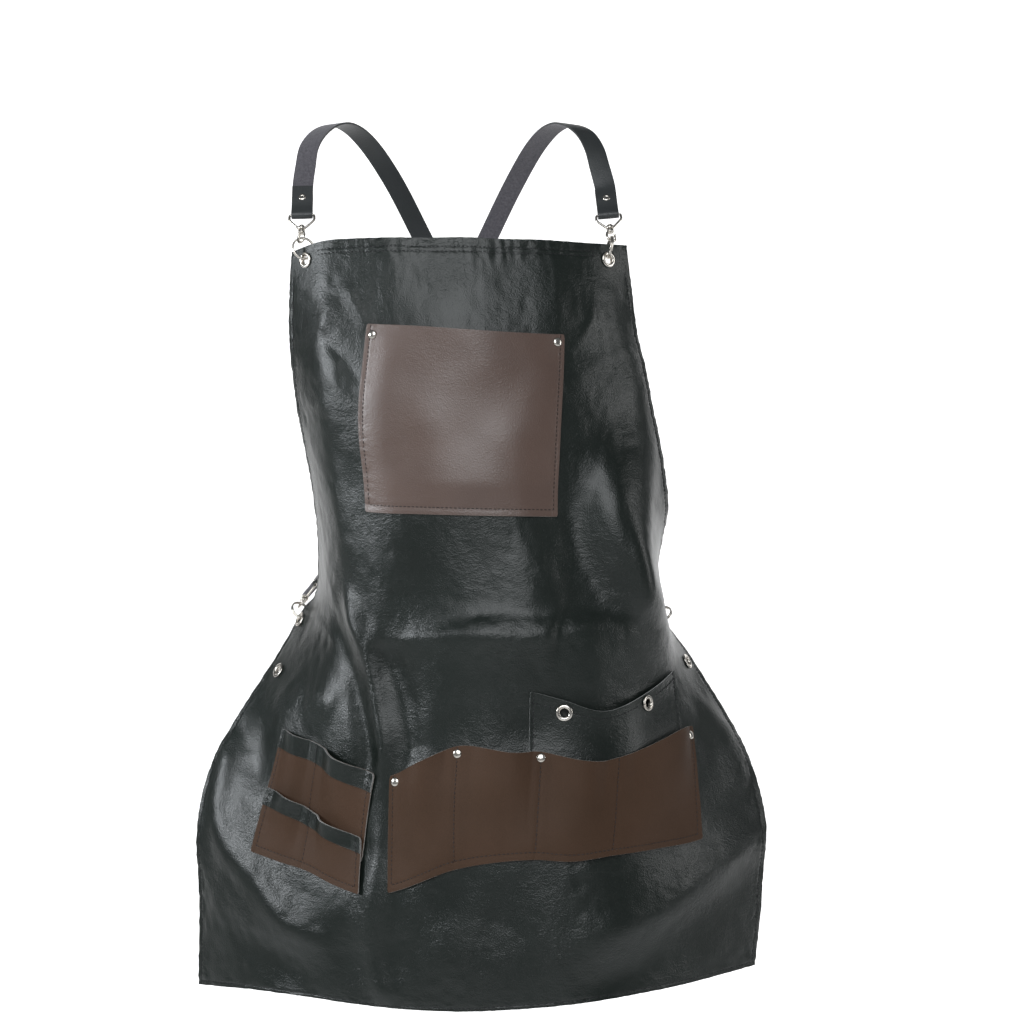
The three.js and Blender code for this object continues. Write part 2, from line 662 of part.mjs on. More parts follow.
// The straps cross on the back, so that the left shoulder's strap leads to the right of the waist.
// flapSide is of the fold in front. Each row is a centre point and the direction away from the body.
const STRAP_ROUTES = {
  left: {
    from: "front_left",
    to: "waist_right",
    flapSide: 1,
    points: [
      [-135, -28, -27, -0.2, -0.8, 0.7],
      [-117, -4, -4.5, -0.1, -0.2, 1],
      [-103, 20, -1.2, 0, 0.2, 1],
      [-86, 50, -12, 0, 0.7, 0.8],
      [-62, 82, -45, 0, 1, 0.35],
      [-34, 104, -98, 0, 1, 0.15],
      [2, 117, -170, 0, 1, 0.05],
      [40, 120, -240, 0.1, 1, 0],
      [78, 118, -305, 0.2, 1, 0],
      [126, 115, -362, 0.4, 0.9, 0],
      [170, 100, -412, 0.7, 0.7, 0.1],
    ],
  },
  right: {
    from: "front_right",
    to: "waist_left",
    flapSide: -1,
    points: [
      [136, -26, -24, 0.2, -0.8, 0.7],
      [118, -4, -4.5, 0.1, -0.2, 1],
      [103, 20, -1.2, 0, 0.2, 1],
      [86, 50, -12, 0, 0.7, 0.8],
      [63, 84, -45, 0, 1, 0.35],
      [35, 109, -98, 0, 1, 0.15],
      [0, 124, -170, 0, 1, 0.05],
      [-34, 126, -240, -0.1, 1, 0],
      [-66, 124, -305, -0.2, 1, 0],
      [-90, 123, -362, -0.4, 0.9, 0],
      [-121, 112, -408, -0.7, 0.7, 0.1],
    ],
  },
};
const BUCKLE_PLACE = 0.66; // of the way along a strap's route
const BUCKLE_LENGTH = 20; // between the middles of the frame's two bars
const BUCKLE_HALF = 12.6;
const CORNER_R = 1.2;
const TAIL_LENGTH = 78; // of the holed strap past the heel bar
const PRONG_R = 0.9;
const KEEPER_PLACE = -46;
const KEEPER_WIDTH = 8;
const KEEPER_THICK = 1.2;
const STRAP_STEP = 20;

const asVector = ([x, y, z]) => v(x, y, z);

function loopBar(end) {
  return end.top.clone().addScaledVector(end.z, LOOP_TOP);
}

for (const [side, route] of Object.entries(STRAP_ROUTES)) {
  const start = STRAP_ENDS[route.from];
  const finish = STRAP_ENDS[route.to];
  const leave = (end, flapSide) =>
    loopBar(end)
      .addScaledVector(end.z, FLAP_LENGTH + 2)
      .addScaledVector(end.y, FLAP_OFFSET * 0.5 * flapSide);
  const centres = [leave(start, route.flapSide), ...route.points.map(asVector), leave(finish, 1)];
  const outs = [
    start.y.clone().negate(),
    ...route.points.map((row) => asVector(row.slice(3)).normalize()),
    finish.y.clone().negate(),
  ];
  const centreLine = new THREE.CatmullRomCurve3(centres);
  const outLine = new THREE.CatmullRomCurve3(outs);
  const length = centreLine.getLength();
  const buckleAt = BUCKLE_PLACE * length;

  // The strap's frame at a distance along its route: t onwards, n away from the body, x across.
  const frameAt = (distance) => {
    const share = Math.min(Math.max(distance / length, 0), 1);
    const at = centreLine.getPointAt(share);
    const t = centreLine.getTangentAt(share);
    const n = outLine.getPoint(centreLine.getUtoTmapping(share));
    n.addScaledVector(t, -n.dot(t)).normalize();
    return { at, t, n, x: new THREE.Vector3().crossVectors(t, n) };
  };
  const buckle = frameAt(buckleAt);
  const inBuckle = (along, away, sideways = 0) =>
    buckle.at
      .clone()
      .addScaledVector(buckle.t, along)
      .addScaledVector(buckle.n, away)
      .addScaledVector(buckle.x, sideways);

  // From the hook in front to the buckle's heel bar.
  const outwards = start.y.clone().negate();
  const upper = foldedEnd(loopBar(start), start.z, outwards, start.x, route.flapSide);
  const upperEnd = buckleAt - FLAP_LENGTH - 6;
  const upperSteps = Math.round(upperEnd / STRAP_STEP);
  for (let i = 0; i <= upperSteps; i += 1) {
    const { at, x } = frameAt((upperEnd * i) / upperSteps);
    upper.push({ at, across: x });
  }
  const heel = foldedEnd(inBuckle(0, 0), buckle.t.clone().negate(), buckle.n, buckle.x, -1);
  upper.push(...heel.reverse());

  // From the hook at the waist, under the toe bar, over the heel bar, to the loose tip.
  const lower = foldedEnd(loopBar(finish), finish.z, finish.y.clone().negate(), finish.x, 1);
  const lowerStart = buckleAt + BUCKLE_LENGTH + 18;
  const lowerSteps = Math.round((length - lowerStart) / STRAP_STEP);
  for (let i = 0; i <= lowerSteps; i += 1) {
    const { at, x } = frameAt(length - ((length - lowerStart) * i) / lowerSteps);
    lower.push({ at, across: x.negate() });
  }
  const under = LOOP_BAR_R + GAP + STRAP_THICK / 2 + 0.2;
  const over = FOLD_R + STRAP_THICK + 0.8;
  const throughBuckle = [
    [BUCKLE_LENGTH + 8, -under * 0.7],
    [BUCKLE_LENGTH, -under],
    [BUCKLE_LENGTH - 5, -under + 0.8],
    [BUCKLE_LENGTH / 2, 1.4],
    [4, over - 1],
    [-2, over],
    [-12, over - 0.5],
  ];
  for (const [along, away] of throughBuckle) {
    lower.push({ at: inBuckle(along, away), across: buckle.x.clone().negate() });
  }
  for (let past = 25; past <= TAIL_LENGTH; past += 13) {
    const { at, n, x } = frameAt(buckleAt - past);
    lower.push({ at: at.addScaledVector(n, STRAP_THICK + 2), across: x.negate() });
  }

  const prongFrom = inBuckle(0, 0);
  const prongTip = inBuckle(BUCKLE_LENGTH + 2, LOOP_BAR_R + PRONG_R + 0.4);
  const eyeOut = (half, radius) => rod(inBuckle(0, 0, -half), inBuckle(0, 0, half), radius, 12);
  const prong = rod(prongFrom, prongTip, PRONG_R, 8)
    .add(eyeOut(1.5, 2.5))
    .subtract(eyeOut(4, LOOP_BAR_R + GAP));
  add(`buckle_prong_${side}`, toGeometry(prong), NICKEL);

  const [half, reach] = [BUCKLE_HALF, BUCKLE_LENGTH];
  const bar = [-half + CORNER_R, -half / 2, 0, half / 2, half - CORNER_R];
  const leg = [CORNER_R, reach / 2, reach - CORNER_R];
  const frameWire = [
    ...bar.map((sideways) => inBuckle(0, 0, sideways)),
    ...leg.map((along) => inBuckle(along, 0, half)),
    ...bar.map((sideways) => inBuckle(reach, 0, -sideways)),
    ...leg.map((along) => inBuckle(reach - along, 0, -half)),
  ];
  add(`buckle_frame_${side}`, wire(frameWire, LOOP_BAR_R, 36, true), NICKEL);

  const riveted = (end) => {
    const middle = loopBar(end).addScaledVector(end.z, STRAP_RIVET_PLACE);
    return punch(middle, end.y, STRAP_RIVET_HOLE_R);
  };
  const prongSlot = eyeOut(2.3, FOLD_R + STRAP_THICK);
  add(`strap_upper_${side}`, punched(ribbon(upper), [riveted(start), prongSlot]), STRAP_LEATHER);
  const prongHole = rod(inBuckle(3, 0.2), inBuckle(BUCKLE_LENGTH - 2, 2.3), PRONG_R + 1.1, 8);
  add(`strap_lower_${side}`, punched(ribbon(lower), [riveted(finish), prongHole]), STRAP_LEATHER);

  for (const [place, end] of [[route.from, start], [route.to, finish]]) {
    const rivet = add(`strap_rivet_${place}`, tubularRivetGeometry(), NICKEL);
    seatOn(rivet, loopBar(end).addScaledVector(end.z, STRAP_RIVET_PLACE), end.y.clone().negate());
  }

  // A leather keeper round both layers, which holds the loose tip down.
  const low = -STRAP_THICK / 2 - 0.6;
  const high = STRAP_THICK * 1.5 + 2.8;
  const rectangle = (grow) =>
    [[-1, low], [1, low], [1, high], [-1, high]].map(
      ([hand, y], i) =>
        new THREE.Vector2(hand * (STRAP_WIDTH / 2 + 0.8 + grow), y + (i < 2 ? -grow : grow)),
    );
  const band = new THREE.Shape(rectangle(KEEPER_THICK));
  band.holes.push(new THREE.Path(rectangle(0)));
  const keeper = new THREE.ExtrudeGeometry(band, { depth: KEEPER_WIDTH, bevelEnabled: false });
  const { at, t, n } = frameAt(buckleAt + KEEPER_PLACE);
  const mesh = add(`strap_keeper_${side}`, keeper, STRAP_LEATHER);
  const sideways = new THREE.Vector3().crossVectors(n, t);
  mesh.setRotationFromMatrix(new THREE.Matrix4().makeBasis(sideways, n, t.clone()));
  mesh.position.copy(at);
}

export default apron;
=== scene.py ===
import json
import math

import bpy
import numpy as np
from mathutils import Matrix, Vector


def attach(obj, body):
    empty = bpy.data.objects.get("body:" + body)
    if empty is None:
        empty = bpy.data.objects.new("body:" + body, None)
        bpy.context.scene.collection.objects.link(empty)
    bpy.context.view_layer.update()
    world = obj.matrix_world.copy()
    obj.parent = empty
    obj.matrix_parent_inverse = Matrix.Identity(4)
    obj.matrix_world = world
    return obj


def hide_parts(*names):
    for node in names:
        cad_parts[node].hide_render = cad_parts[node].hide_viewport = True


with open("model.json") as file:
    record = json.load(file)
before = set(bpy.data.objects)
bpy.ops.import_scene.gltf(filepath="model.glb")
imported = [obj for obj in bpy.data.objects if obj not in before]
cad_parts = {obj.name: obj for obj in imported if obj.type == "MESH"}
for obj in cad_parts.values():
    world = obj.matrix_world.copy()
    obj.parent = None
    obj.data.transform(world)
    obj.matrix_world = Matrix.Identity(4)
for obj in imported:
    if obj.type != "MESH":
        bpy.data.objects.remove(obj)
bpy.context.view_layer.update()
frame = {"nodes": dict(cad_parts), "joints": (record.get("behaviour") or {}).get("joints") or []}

# A cross-back leather work apron. The code below counts in millimetres, as the CAD part does,
# and meshes are written in metres. The front faces -Y.
MM = 0.001
SEED = 11

# ---------------------------------------------------------------- camera
CAMERA_AT = (0.060, -1.810, -0.385)
CAMERA_LENS, CAMERA_SENSOR = 64.55, 36


def make_camera():
    camera = bpy.data.objects.new("camera", bpy.data.cameras.new("camera"))
    bpy.context.scene.collection.objects.link(camera)
    camera.location = CAMERA_AT
    camera.rotation_euler = (math.radians(90), 0, 0)
    camera.data.lens = CAMERA_LENS
    camera.data.sensor_width = CAMERA_SENSOR
    bpy.context.scene.camera = camera


make_camera()
joints = {joint["name"]: joint for joint in frame["joints"]}

# ---------------------------------------------------------------- the drape, as in the CAD part
APRON_LENGTH = 750
PANEL_THICK = 1.4
# Each level is the distance down the flat sheet, half its width there, and points across it.
LEVELS = [
    (0, 168, [[-150, -58, -137], [-116, -84, -130], [-72, -101, -130], [-30, -109, -131],
              [10, -112, -131], [49, -109, -132], [89, -100, -132], [129, -84, -132], [169, -60, -131]]),
    (80, 180, [[-154, -48, -203], [-119, -84, -206], [-71, -110, -208], [-26, -121, -210],
               [16, -125, -212], [58, -122, -213], [101, -112, -212], [142, -88, -208], [178, -50, -201]]),
    (170, 198, [[-148, -32, -284], [-120, -76, -291], [-73, -111, -297], [-29, -126, -299],
                [16, -131, -301], [60, -129, -301], [104, -118, -299], [152, -92, -292], [194, -42, -281]]),
    (260, 230, [[-135, -10, -368], [-113, -66, -380], [-70, -106, -387], [-24, -126, -389],
                [20, -133, -390], [64, -131, -390], [112, -116, -389], [166, -118, -384], [210, -40, -370]]),
    (335, 275, [[-131, 14, -452], [-116, -46, -462], [-82, -94, -467], [-32, -118, -469],
                [22, -134, -468], [76, -137, -466], [136, -118, -463], [194, -106, -457], [202, -5, -446]]),
    (380, 325, [[-152, 32, -487], [-128, -28, -508], [-94, -80, -522], [-46, -108, -519],
                [15, -140, -504], [78, -145, -500], [144, -126, -497], [204, -72, -494], [208, 16, -486]]),
    (450, 325, [[-189, 30, -551], [-155, -32, -578], [-104, -82, -600], [-51, -112, -594],
                [11, -136, -582], [76, -140, -576], [144, -126, -571], [208, -68, -552], [239, 9, -532]]),
    (530, 325, [[-236, 12, -630], [-182, -34, -656], [-120, -75, -676], [-57, -114, -676],
                [8, -146, -652], [76, -151, -645], [144, -142, -645], [212, -98, -642], [288, 8, -614]]),
    (600, 325, [[-250, 0, -700], [-192, -48, -724], [-127, -90, -739], [-61, -124, -743],
                [9, -154, -720], [76, -161, -710], [142, -156, -706], [217, -108, -704], [307, -12, -684]]),
    (680, 325, [[-248, 0, -778], [-189, -56, -788], [-126, -98, -793], [-61, -126, -799],
                [9, -160, -782], [76, -168, -774], [142, -160, -769], [217, -112, -762], [302, -30, -758]]),
    (APRON_LENGTH, 325, [[-248, -2, -850], [-184, -62, -840], [-120, -100, -838], [-58, -130, -838],
                         [9, -160, -834], [76, -168, -829], [144, -158, -824], [217, -112, -822],
                         [293, -42, -821]]),
]
DOWNS = np.array([level[0] for level in LEVELS], float)
HALVES = np.array([level[1] for level in LEVELS], float)
NET = np.array([level[2] for level in LEVELS], float)
STATIONS = NET.shape[1]
DRAPE_STEP, PANEL_STEP, POCKET_STEP = 2, 1.0, 0.8  # how far apart normals are measured


def spline_weights(s, count):
    """Catmull-Rom neighbours and weights of places s in a row of count points."""
    i = np.clip(np.floor(s).astype(int), 0, count - 2)
    f = s - i
    return [
        (np.maximum(i - 1, 0), -0.5 * f + f * f - 0.5 * f ** 3),
        (i, 1 - 2.5 * f * f + 1.5 * f ** 3),
        (i + 1, 0.5 * f + 2 * f * f - 1.5 * f ** 3),
        (np.minimum(i + 2, count - 1), -0.5 * f * f + 0.5 * f ** 3),
    ]


def level_at(down):
    i = np.clip(np.searchsorted(DOWNS, down) - 1, 0, len(DOWNS) - 2)
    return i + (down - DOWNS[i]) / (DOWNS[i + 1] - DOWNS[i])


def half_width(down):
    return sum(w * HALVES[i] for i, w in spline_weights(level_at(down), len(HALVES)))


def drape(across, down):
    """Points of the leather's middle surface, from places on the flat sheet."""
    u = ((across / half_width(down) + 1) / 2) * (STATIONS - 1)
    points = 0
    for row, row_weight in spline_weights(level_at(down), len(DOWNS)):
        for col, col_weight in spline_weights(u, STATIONS):
            points = points + NET[row, col] * (row_weight * col_weight)[:, None]
    return points


def unit(vectors):
    return vectors / np.maximum(np.linalg.norm(vectors, axis=-1, keepdims=True), 1e-9)


def vector(values):
    return np.array(values, float)


def distances(points):
    """The distance along a line of each of its points from the first."""
    return np.concatenate([[0], np.cumsum(np.linalg.norm(np.diff(points, axis=0), axis=1))])


def at_places(places, along, points):
    """Values of points, known at distances along a line, at other places on it."""
    return np.stack([np.interp(places, along, points[:, k]) for k in range(3)], 1)


def surface_normals(surface, across, down, step, top=0.0, bottom=APRON_LENGTH):
    """Front normals of surface(across, down)."""
    sideways = surface(across + step, down) - surface(across - step, down)
    low, high = np.minimum(down + step, bottom), np.maximum(down - step, top)
    return unit(np.cross(surface(across, low) - surface(across, high), sideways))


def drape_normals(across, down):
    return surface_normals(drape, across, down, DRAPE_STEP)


def smooth(x, low, high):
    t = np.clip((x - low) / (high - low), 0, 1)
    return t * t * (3 - 2 * t)


# ---------------------------------------------------------------- folds and creases
# Each is a line on the flat sheet as (across, down) points, a width, a height towards the front
# and a shape: 2 is a soft fold and 1 a crease. fade is the share of its ends that die away.
SOFT, CREASE = 2, 1
FOLDS = [
    # the long fold from the left of the bib down between the pockets
    ([(-132, 20), (-134, 157), (-151, 250), (-160, 320)], 17, 3.2, SOFT, 0.3),
    ([(-165, 318), (-150, 350), (-123, 380), (-104, 425), (-90, 460), (-84, 510)], 13, 6.5, SOFT, 0.22),
    ([(-88, 480), (-86, 560), (-90, 640), (-84, 700), (-76, 752)], 15, 5, SOFT, 0.2),
    ([(-120, 360), (-78, 400), (-60, 450), (-58, 500)], 18, -5, SOFT, 0.3),
    ([(-196, 340), (-150, 400), (-118, 450), (-104, 500)], 15, -4.5, SOFT, 0.3),
    # the right of the bib, folded back at the waist
    ([(150, 60), (161, 111), (179, 183), (192, 256), (190, 330), (196, 420)], 15, 4.5, SOFT, 0.25),
    ([(128, 120), (137, 176), (132, 228), (124, 280), (104, 340)], 22, -3, SOFT, 0.4),
    ([(96, 230), (84, 290), (64, 350)], 30, 1.8, SOFT, 0.4),
    # where the sheet was folded for packing
    ([(-131, 363), (-60, 367), (0, 373), (60, 378), (112, 377)], 20, 5.5, CREASE, 0.1),
    ([(112, 377), (150, 374), (200, 380)], 9, 1.5, CREASE, 0.3),
    ([(-185, 163), (-135, 161), (-96, 160)], 5, 0.8, CREASE, 0.3),
    ([(98, 124), (134, 116), (186, 107)], 5, 0.9, CREASE, 0.3),
    ([(-80, 6), (-83, 63), (-84, 110)], 14, -1.5, CREASE, 0.3),
    ([(93, 6), (91, 59), (89, 110)], 16, 1.7, CREASE, 0.3),
    # small creases of the bib
    ([(-112, 42), (-102, 66), (-90, 94)], 4.5, 2.3, CREASE, 0.4),
    ([(-139, 74), (-126, 104), (-110, 129), (-100, 152)], 6, -2.4, CREASE, 0.4),
    ([(-120, 56), (-130, 76), (-138, 98)], 6, 1.8, CREASE, 0.4),
    ([(-117, 160), (-124, 136), (-119, 110)], 6, 1.9, CREASE, 0.4),
    ([(126, 48), (128, 70), (117, 92), (100, 112)], 5.5, 2.2, CREASE, 0.4),
    ([(102, 134), (124, 127), (139, 117)], 5, 1.8, CREASE, 0.4),
    ([(150, 190), (166, 204), (186, 206)], 6, -0.9, CREASE, 0.4),
    # the left of the waist
    ([(-216, 306), (-190, 338), (-176, 360), (-160, 384)], 4, 1.2, CREASE, 0.3),
    ([(-285, 374), (-249, 366), (-207, 370), (-178, 380)], 4, 1.3, CREASE, 0.3),
    ([(-300, 372), (-293, 396), (-290, 414)], 4, 1, CREASE, 0.4),
    # the skirt
    ([(-230, 440), (-196, 424), (-170, 424)], 16, 4, SOFT, 0.4),
    ([(-286, 474), (-262, 500), (-256, 540)], 20, -4, SOFT, 0.4),
    ([(-318, 500), (-300, 530), (-290, 575), (-262, 620)], 15, 4, SOFT, 0.3),
    ([(-296, 590), (-240, 612), (-188, 650), (-116, 684)], 24, 5, SOFT, 0.3),
    ([(-300, 680), (-220, 700), (-150, 730)], 26, -4, SOFT, 0.4),
    ([(292, 470), (303, 528), (296, 575)], 16, 4.5, SOFT, 0.3),
    ([(315, 600), (262, 634), (205, 664), (115, 688)], 26, 7, SOFT, 0.3),
    ([(280, 690), (200, 716), (120, 726)], 24, -4, SOFT, 0.4),
    ([(20, 620), (60, 660), (70, 720)], 30, -3.5, SOFT, 0.4),
    ([(-324, 493), (-291, 496), (-276, 512)], 6, -1.8, CREASE, 0.4),
    ([(112, 600), (130, 606), (150, 598), (170, 604)], 5, 1.3, CREASE, 0.4),
    ([(126, 596), (134, 612), (140, 626)], 5, -1.2, CREASE, 0.4),
]
EYELETS = {
    "eyelet_bib_left": (-147, 21),
    "eyelet_bib_right": (146, 22),
    "eyelet_waist_left": (-311, 384),
    "eyelet_waist_right": (309, 388),
    "eyelet_side_left": (-296, 434),
    "eyelet_side_right": (301, 445),
}
CALM_NEAR, CALM_FAR = 11, 34  # leather is flat around an eyelet, and free of it further out
LINE_STEPS = 24


def through_points(points, count):
    """count points of a smooth curve through given ones."""
    points = np.array(points, float)
    s = np.linspace(0, len(points) - 1, count)
    return sum(points[i] * w[:, None] for i, w in spline_weights(s, len(points)))


FOLD_LINES = [through_points(fold[0], LINE_STEPS) for fold in FOLDS]


def distance_to(line, spots):
    """Distance to a line, and the share of the way along it, for each spot."""
    best = np.full(len(spots), 1e9)
    share = np.zeros(len(spots))
    for k in range(len(line) - 1):
        edge = line[k + 1] - line[k]
        t = np.clip((spots - line[k]) @ edge / (edge @ edge), 0, 1)
        gap = np.linalg.norm(spots - line[k] - t[:, None] * edge, axis=1)
        nearer = gap < best
        best[nearer] = gap[nearer]
        share[nearer] = ((k + t) / (len(line) - 1))[nearer]
    return best, share


def waves(seed, count, longest, shortest):
    """Random plane waves, whose sum is a smooth random field of about unit height."""
    rng = np.random.default_rng(seed)
    length = np.exp(rng.uniform(math.log(shortest), math.log(longest), count))
    angle = rng.uniform(0, 2 * math.pi, count)
    direction = np.stack([np.cos(angle), np.sin(angle)]) * (2 * math.pi / length)
    return direction, rng.uniform(0, 2 * math.pi, count), math.sqrt(2 / count)


def field(spots, wave_set):
    direction, phase, scale = wave_set
    return np.sin(spots @ direction + phase).sum(1) * scale


# How many waves each random field has, and its longest and shortest wave.
BILLOWS = waves(SEED, 26, 190, 60)
RUMPLES = waves(SEED + 1, 36, 60, 20)
FURROWS = waves(SEED + 2, 40, 34, 12)
BILLOW, RUMPLE, FURROW = 0.5, 0.09, 0.24
FURROW_LEVEL = 0.8


def add_folds(lift, spots, wanted, profile):
    """Adds the folds of one shape, whose height falls with profile(gap, width)."""
    for (_, width, height, shape, fade), line in zip(FOLDS, FOLD_LINES):
        if shape == wanted:
            gap, share = distance_to(line, spots)
            ends = smooth(share, 0, fade) * smooth(1 - share, 0, fade)
            lift += height * ends * profile(gap, width)
    return lift


def broad_folds(spots):
    lift = BILLOW * field(spots, BILLOWS)
    return add_folds(lift, spots, SOFT, lambda gap, width: np.exp(-((gap / width) ** 2)))


def fine_folds(spots):
    lift = RUMPLE * field(spots, RUMPLES)
    lift += FURROW * (FURROW_LEVEL - np.abs(field(spots, FURROWS)))
    return add_folds(lift, spots, CREASE, lambda gap, width: np.exp(-np.sqrt(gap ** 2 + 1) / width))


def calm(spots):
    quiet = np.ones(len(spots))
    for spot in EYELETS.values():
        quiet *= smooth(np.linalg.norm(spots - spot, axis=1), CALM_NEAR, CALM_FAR)
    return quiet


HEM_ROWS = {"top": (13, 18.5), "side": (7.5,), "bottom": (7,)}
HEM_DEPTH = {"top": 23, "side": 13, "bottom": 12}
HEM_THICK = 1.0
GROOVE_DEPTH, GROOVE_WIDTH = 0.4, 1.1
PUCKER_HEIGHT, PUCKER_REACH = 0.3, 12
PUCKER_WAVE, PUCKER_DRIFT = 0.52, 0.13  # radians per millimetre along the hem


def edge_gaps(across, down):
    return {"top": down, "side": half_width(down) - np.abs(across), "bottom": APRON_LENGTH - down}


def hem_grooves(across, down):
    """Stitching pulls the leather in along its rows, and puckers it a little."""
    lift = np.zeros(len(across))
    for edge, gap in edge_gaps(across, down).items():
        for row in HEM_ROWS[edge]:
            lift -= GROOVE_DEPTH * np.exp(-(((gap - row) / GROOVE_WIDTH) ** 2))
        along = down if edge == "side" else across
        near = 1 - smooth(gap, HEM_ROWS[edge][-1], HEM_ROWS[edge][-1] + PUCKER_REACH)
        lift += PUCKER_HEIGHT * near * np.sin(along * PUCKER_WAVE + 2 * np.sin(along * PUCKER_DRIFT))
    return lift


def leather_surface(across, down, lift=0.0, fine=1.0):
    """The folded leather: fine=0 leaves out small creases, as on a pocket sewn over them."""
    spots = np.stack([across, down], 1)
    folds = broad_folds(spots)
    if fine:
        folds = folds + fine * (fine_folds(spots) + hem_grooves(across, down))
    rise = folds * calm(spots) + lift
    return drape(across, down) + drape_normals(across, down) * rise[:, None]


# ---------------------------------------------------------------- materials
def feed(tree, node, inputs):
    """Sets a node's inputs: an output socket is linked, anything else is a fixed value."""
    for key, value in inputs.items():
        if isinstance(value, bpy.types.NodeSocket):
            tree.links.new(value, node.inputs[key])
        else:
            node.inputs[key].default_value = value
    return node


def add_node(tree, kind, inputs=None, **settings):
    node = tree.nodes.new(kind)
    for key, value in settings.items():
        setattr(node, key, value)
    return feed(tree, node, inputs or {})


def new_material(name):
    """A material, its node tree and the object's own coordinates."""
    material = bpy.data.materials.new(name)
    material.use_nodes = True
    tree = material.node_tree
    return material, tree, add_node(tree, "ShaderNodeTexCoord").outputs["Object"]


def shade(tree, inputs):
    feed(tree, tree.nodes["Principled BSDF"], inputs)


def noise(tree, coordinates, scale, detail=3.0, roughness=0.5, output="Fac"):
    inputs = {"Vector": coordinates, "Scale": scale, "Detail": detail, "Roughness": roughness}
    return add_node(tree, "ShaderNodeTexNoise", inputs).outputs[output]


def ramp(tree, factor, low, high, from_low=0.3, from_high=0.7):
    node = add_node(tree, "ShaderNodeValToRGB", {"Fac": factor})
    for element, position, color in zip(node.color_ramp.elements, (from_low, from_high), (low, high)):
        element.position = position
        element.color = (*color, 1)
    return node.outputs["Color"]


def span(tree, factor, low, high):
    inputs = {"Value": factor, "To Min": low, "To Max": high}
    return add_node(tree, "ShaderNodeMapRange", inputs).outputs["Result"]


def bump(tree, height, strength, distance, below=None):
    inputs = {"Height": height, "Strength": strength, "Distance": distance}
    if below is not None:
        inputs["Normal"] = below
    return add_node(tree, "ShaderNodeBump", inputs).outputs["Normal"]


def stretched(tree, coordinates, scale):
    return add_node(tree, "ShaderNodeMapping", {"Vector": coordinates, "Scale": scale}).outputs["Vector"]


# Texture scales, in cells per metre.
COLOUR_SCALE, SHINE_SCALE, PATCH_SCALE = 9, 24, 22
WRINKLE_SCALE, GRAIN_SCALE, PORE_SCALE = 210, 900, 2600
WARP_SHARE, WARP = 0.6, 0.0016
PATCH_FROM, PATCH_TO = 0.42, 0.66
WRINKLE_STRETCH, RUB_STRETCH = (1.0, 1.0, 1.7), (1.0, 1.0, 9.0)


def grain_cells(tree, coordinates, scale):
    warp = noise(tree, coordinates, scale * WARP_SHARE, 2, output="Color")
    inputs = {"Fac": WARP, "Color1": coordinates, "Color2": warp}
    moved = add_node(tree, "ShaderNodeMixRGB", inputs, blend_type="ADD").outputs["Color"]
    cells = add_node(tree, "ShaderNodeTexVoronoi", {"Vector": moved, "Scale": scale}, feature="SMOOTH_F1")
    return cells.outputs["Distance"]


def leather(name, dark, light, rough, gloss, grain=1.0, wrinkle=1.0):
    """Coated leather: pebble grain, stretched wrinkles and a slow change of colour and shine."""
    material, tree, coordinates = new_material(name)
    wrinkles = noise(tree, stretched(tree, coordinates, WRINKLE_STRETCH), WRINKLE_SCALE, 4, 0.6)
    patches = add_node(tree, "ShaderNodeMapRange", {
        "Value": noise(tree, coordinates, PATCH_SCALE, 3), "From Min": PATCH_FROM, "From Max": PATCH_TO})
    inputs = {0: wrinkles, 1: patches.outputs["Result"]}
    patchy = add_node(tree, "ShaderNodeMath", inputs, operation="MULTIPLY").outputs["Value"]
    low = bump(tree, patchy, 0.32 * wrinkle, 0.0022)
    middle = bump(tree, grain_cells(tree, coordinates, GRAIN_SCALE), 0.3 * grain, 0.0007, low)
    shade(tree, {
        "Base Color": ramp(tree, noise(tree, coordinates, COLOUR_SCALE, 5), dark, light),
        "Roughness": span(tree, noise(tree, coordinates, SHINE_SCALE, 6), *rough),
        "Specular IOR Level": gloss,
        "Normal": bump(tree, noise(tree, coordinates, PORE_SCALE, 2), 0.12 * grain, 0.0003, middle),
    })
    return material


def suede(name, dark, light):
    """The brushed backing of the leather: a matt felted nap."""
    material, tree, coordinates = new_material(name)
    nap = bump(tree, noise(tree, coordinates, 1100, 5, 0.7), 0.55, 0.0007)
    shade(tree, {
        "Base Color": ramp(tree, noise(tree, coordinates, 420, 6, 0.7), dark, light),
        "Roughness": 0.95,
        "Specular IOR Level": 0.2,
        "Sheen Weight": 0.35,
        "Sheen Roughness": 0.6,
        "Normal": bump(tree, noise(tree, coordinates, 240, 3), 0.25, 0.001, nap),
    })
    return material


def raw_edge(name, dark, light):
    """The cut edge of leather, with its fibres."""
    material, tree, coordinates = new_material(name)
    shade(tree, {
        "Base Color": ramp(tree, noise(tree, coordinates, 900, 4, 0.7), dark, light),
        "Roughness": 0.85,
        "Normal": bump(tree, noise(tree, coordinates, 1600, 3), 0.6, 0.0005),
    })
    return material


def plated(name, dark, light, rough):
    """Nickel plate: slightly warm, with dull patches and fine rub marks."""
    material, tree, coordinates = new_material(name)
    marks = noise(tree, stretched(tree, coordinates, RUB_STRETCH), 900, 3, 0.7)
    shade(tree, {
        "Base Color": ramp(tree, noise(tree, coordinates, 160, 5), dark, light),
        "Metallic": 1,
        "Roughness": span(tree, noise(tree, coordinates, 420, 6, 0.7), *rough),
        "Normal": bump(tree, marks, 0.08, 0.0003),
    })
    return material


def thread(name, color, highlight=2.2):
    material, tree, coordinates = new_material(name)
    lighter = tuple(min(1, c * highlight) for c in color)
    shade(tree, {
        "Base Color": ramp(tree, noise(tree, coordinates, 1500, 2), color, lighter),
        "Roughness": 0.6,
        "Normal": bump(tree, noise(tree, coordinates, 3500, 2), 0.5, 0.0003),
    })
    return material


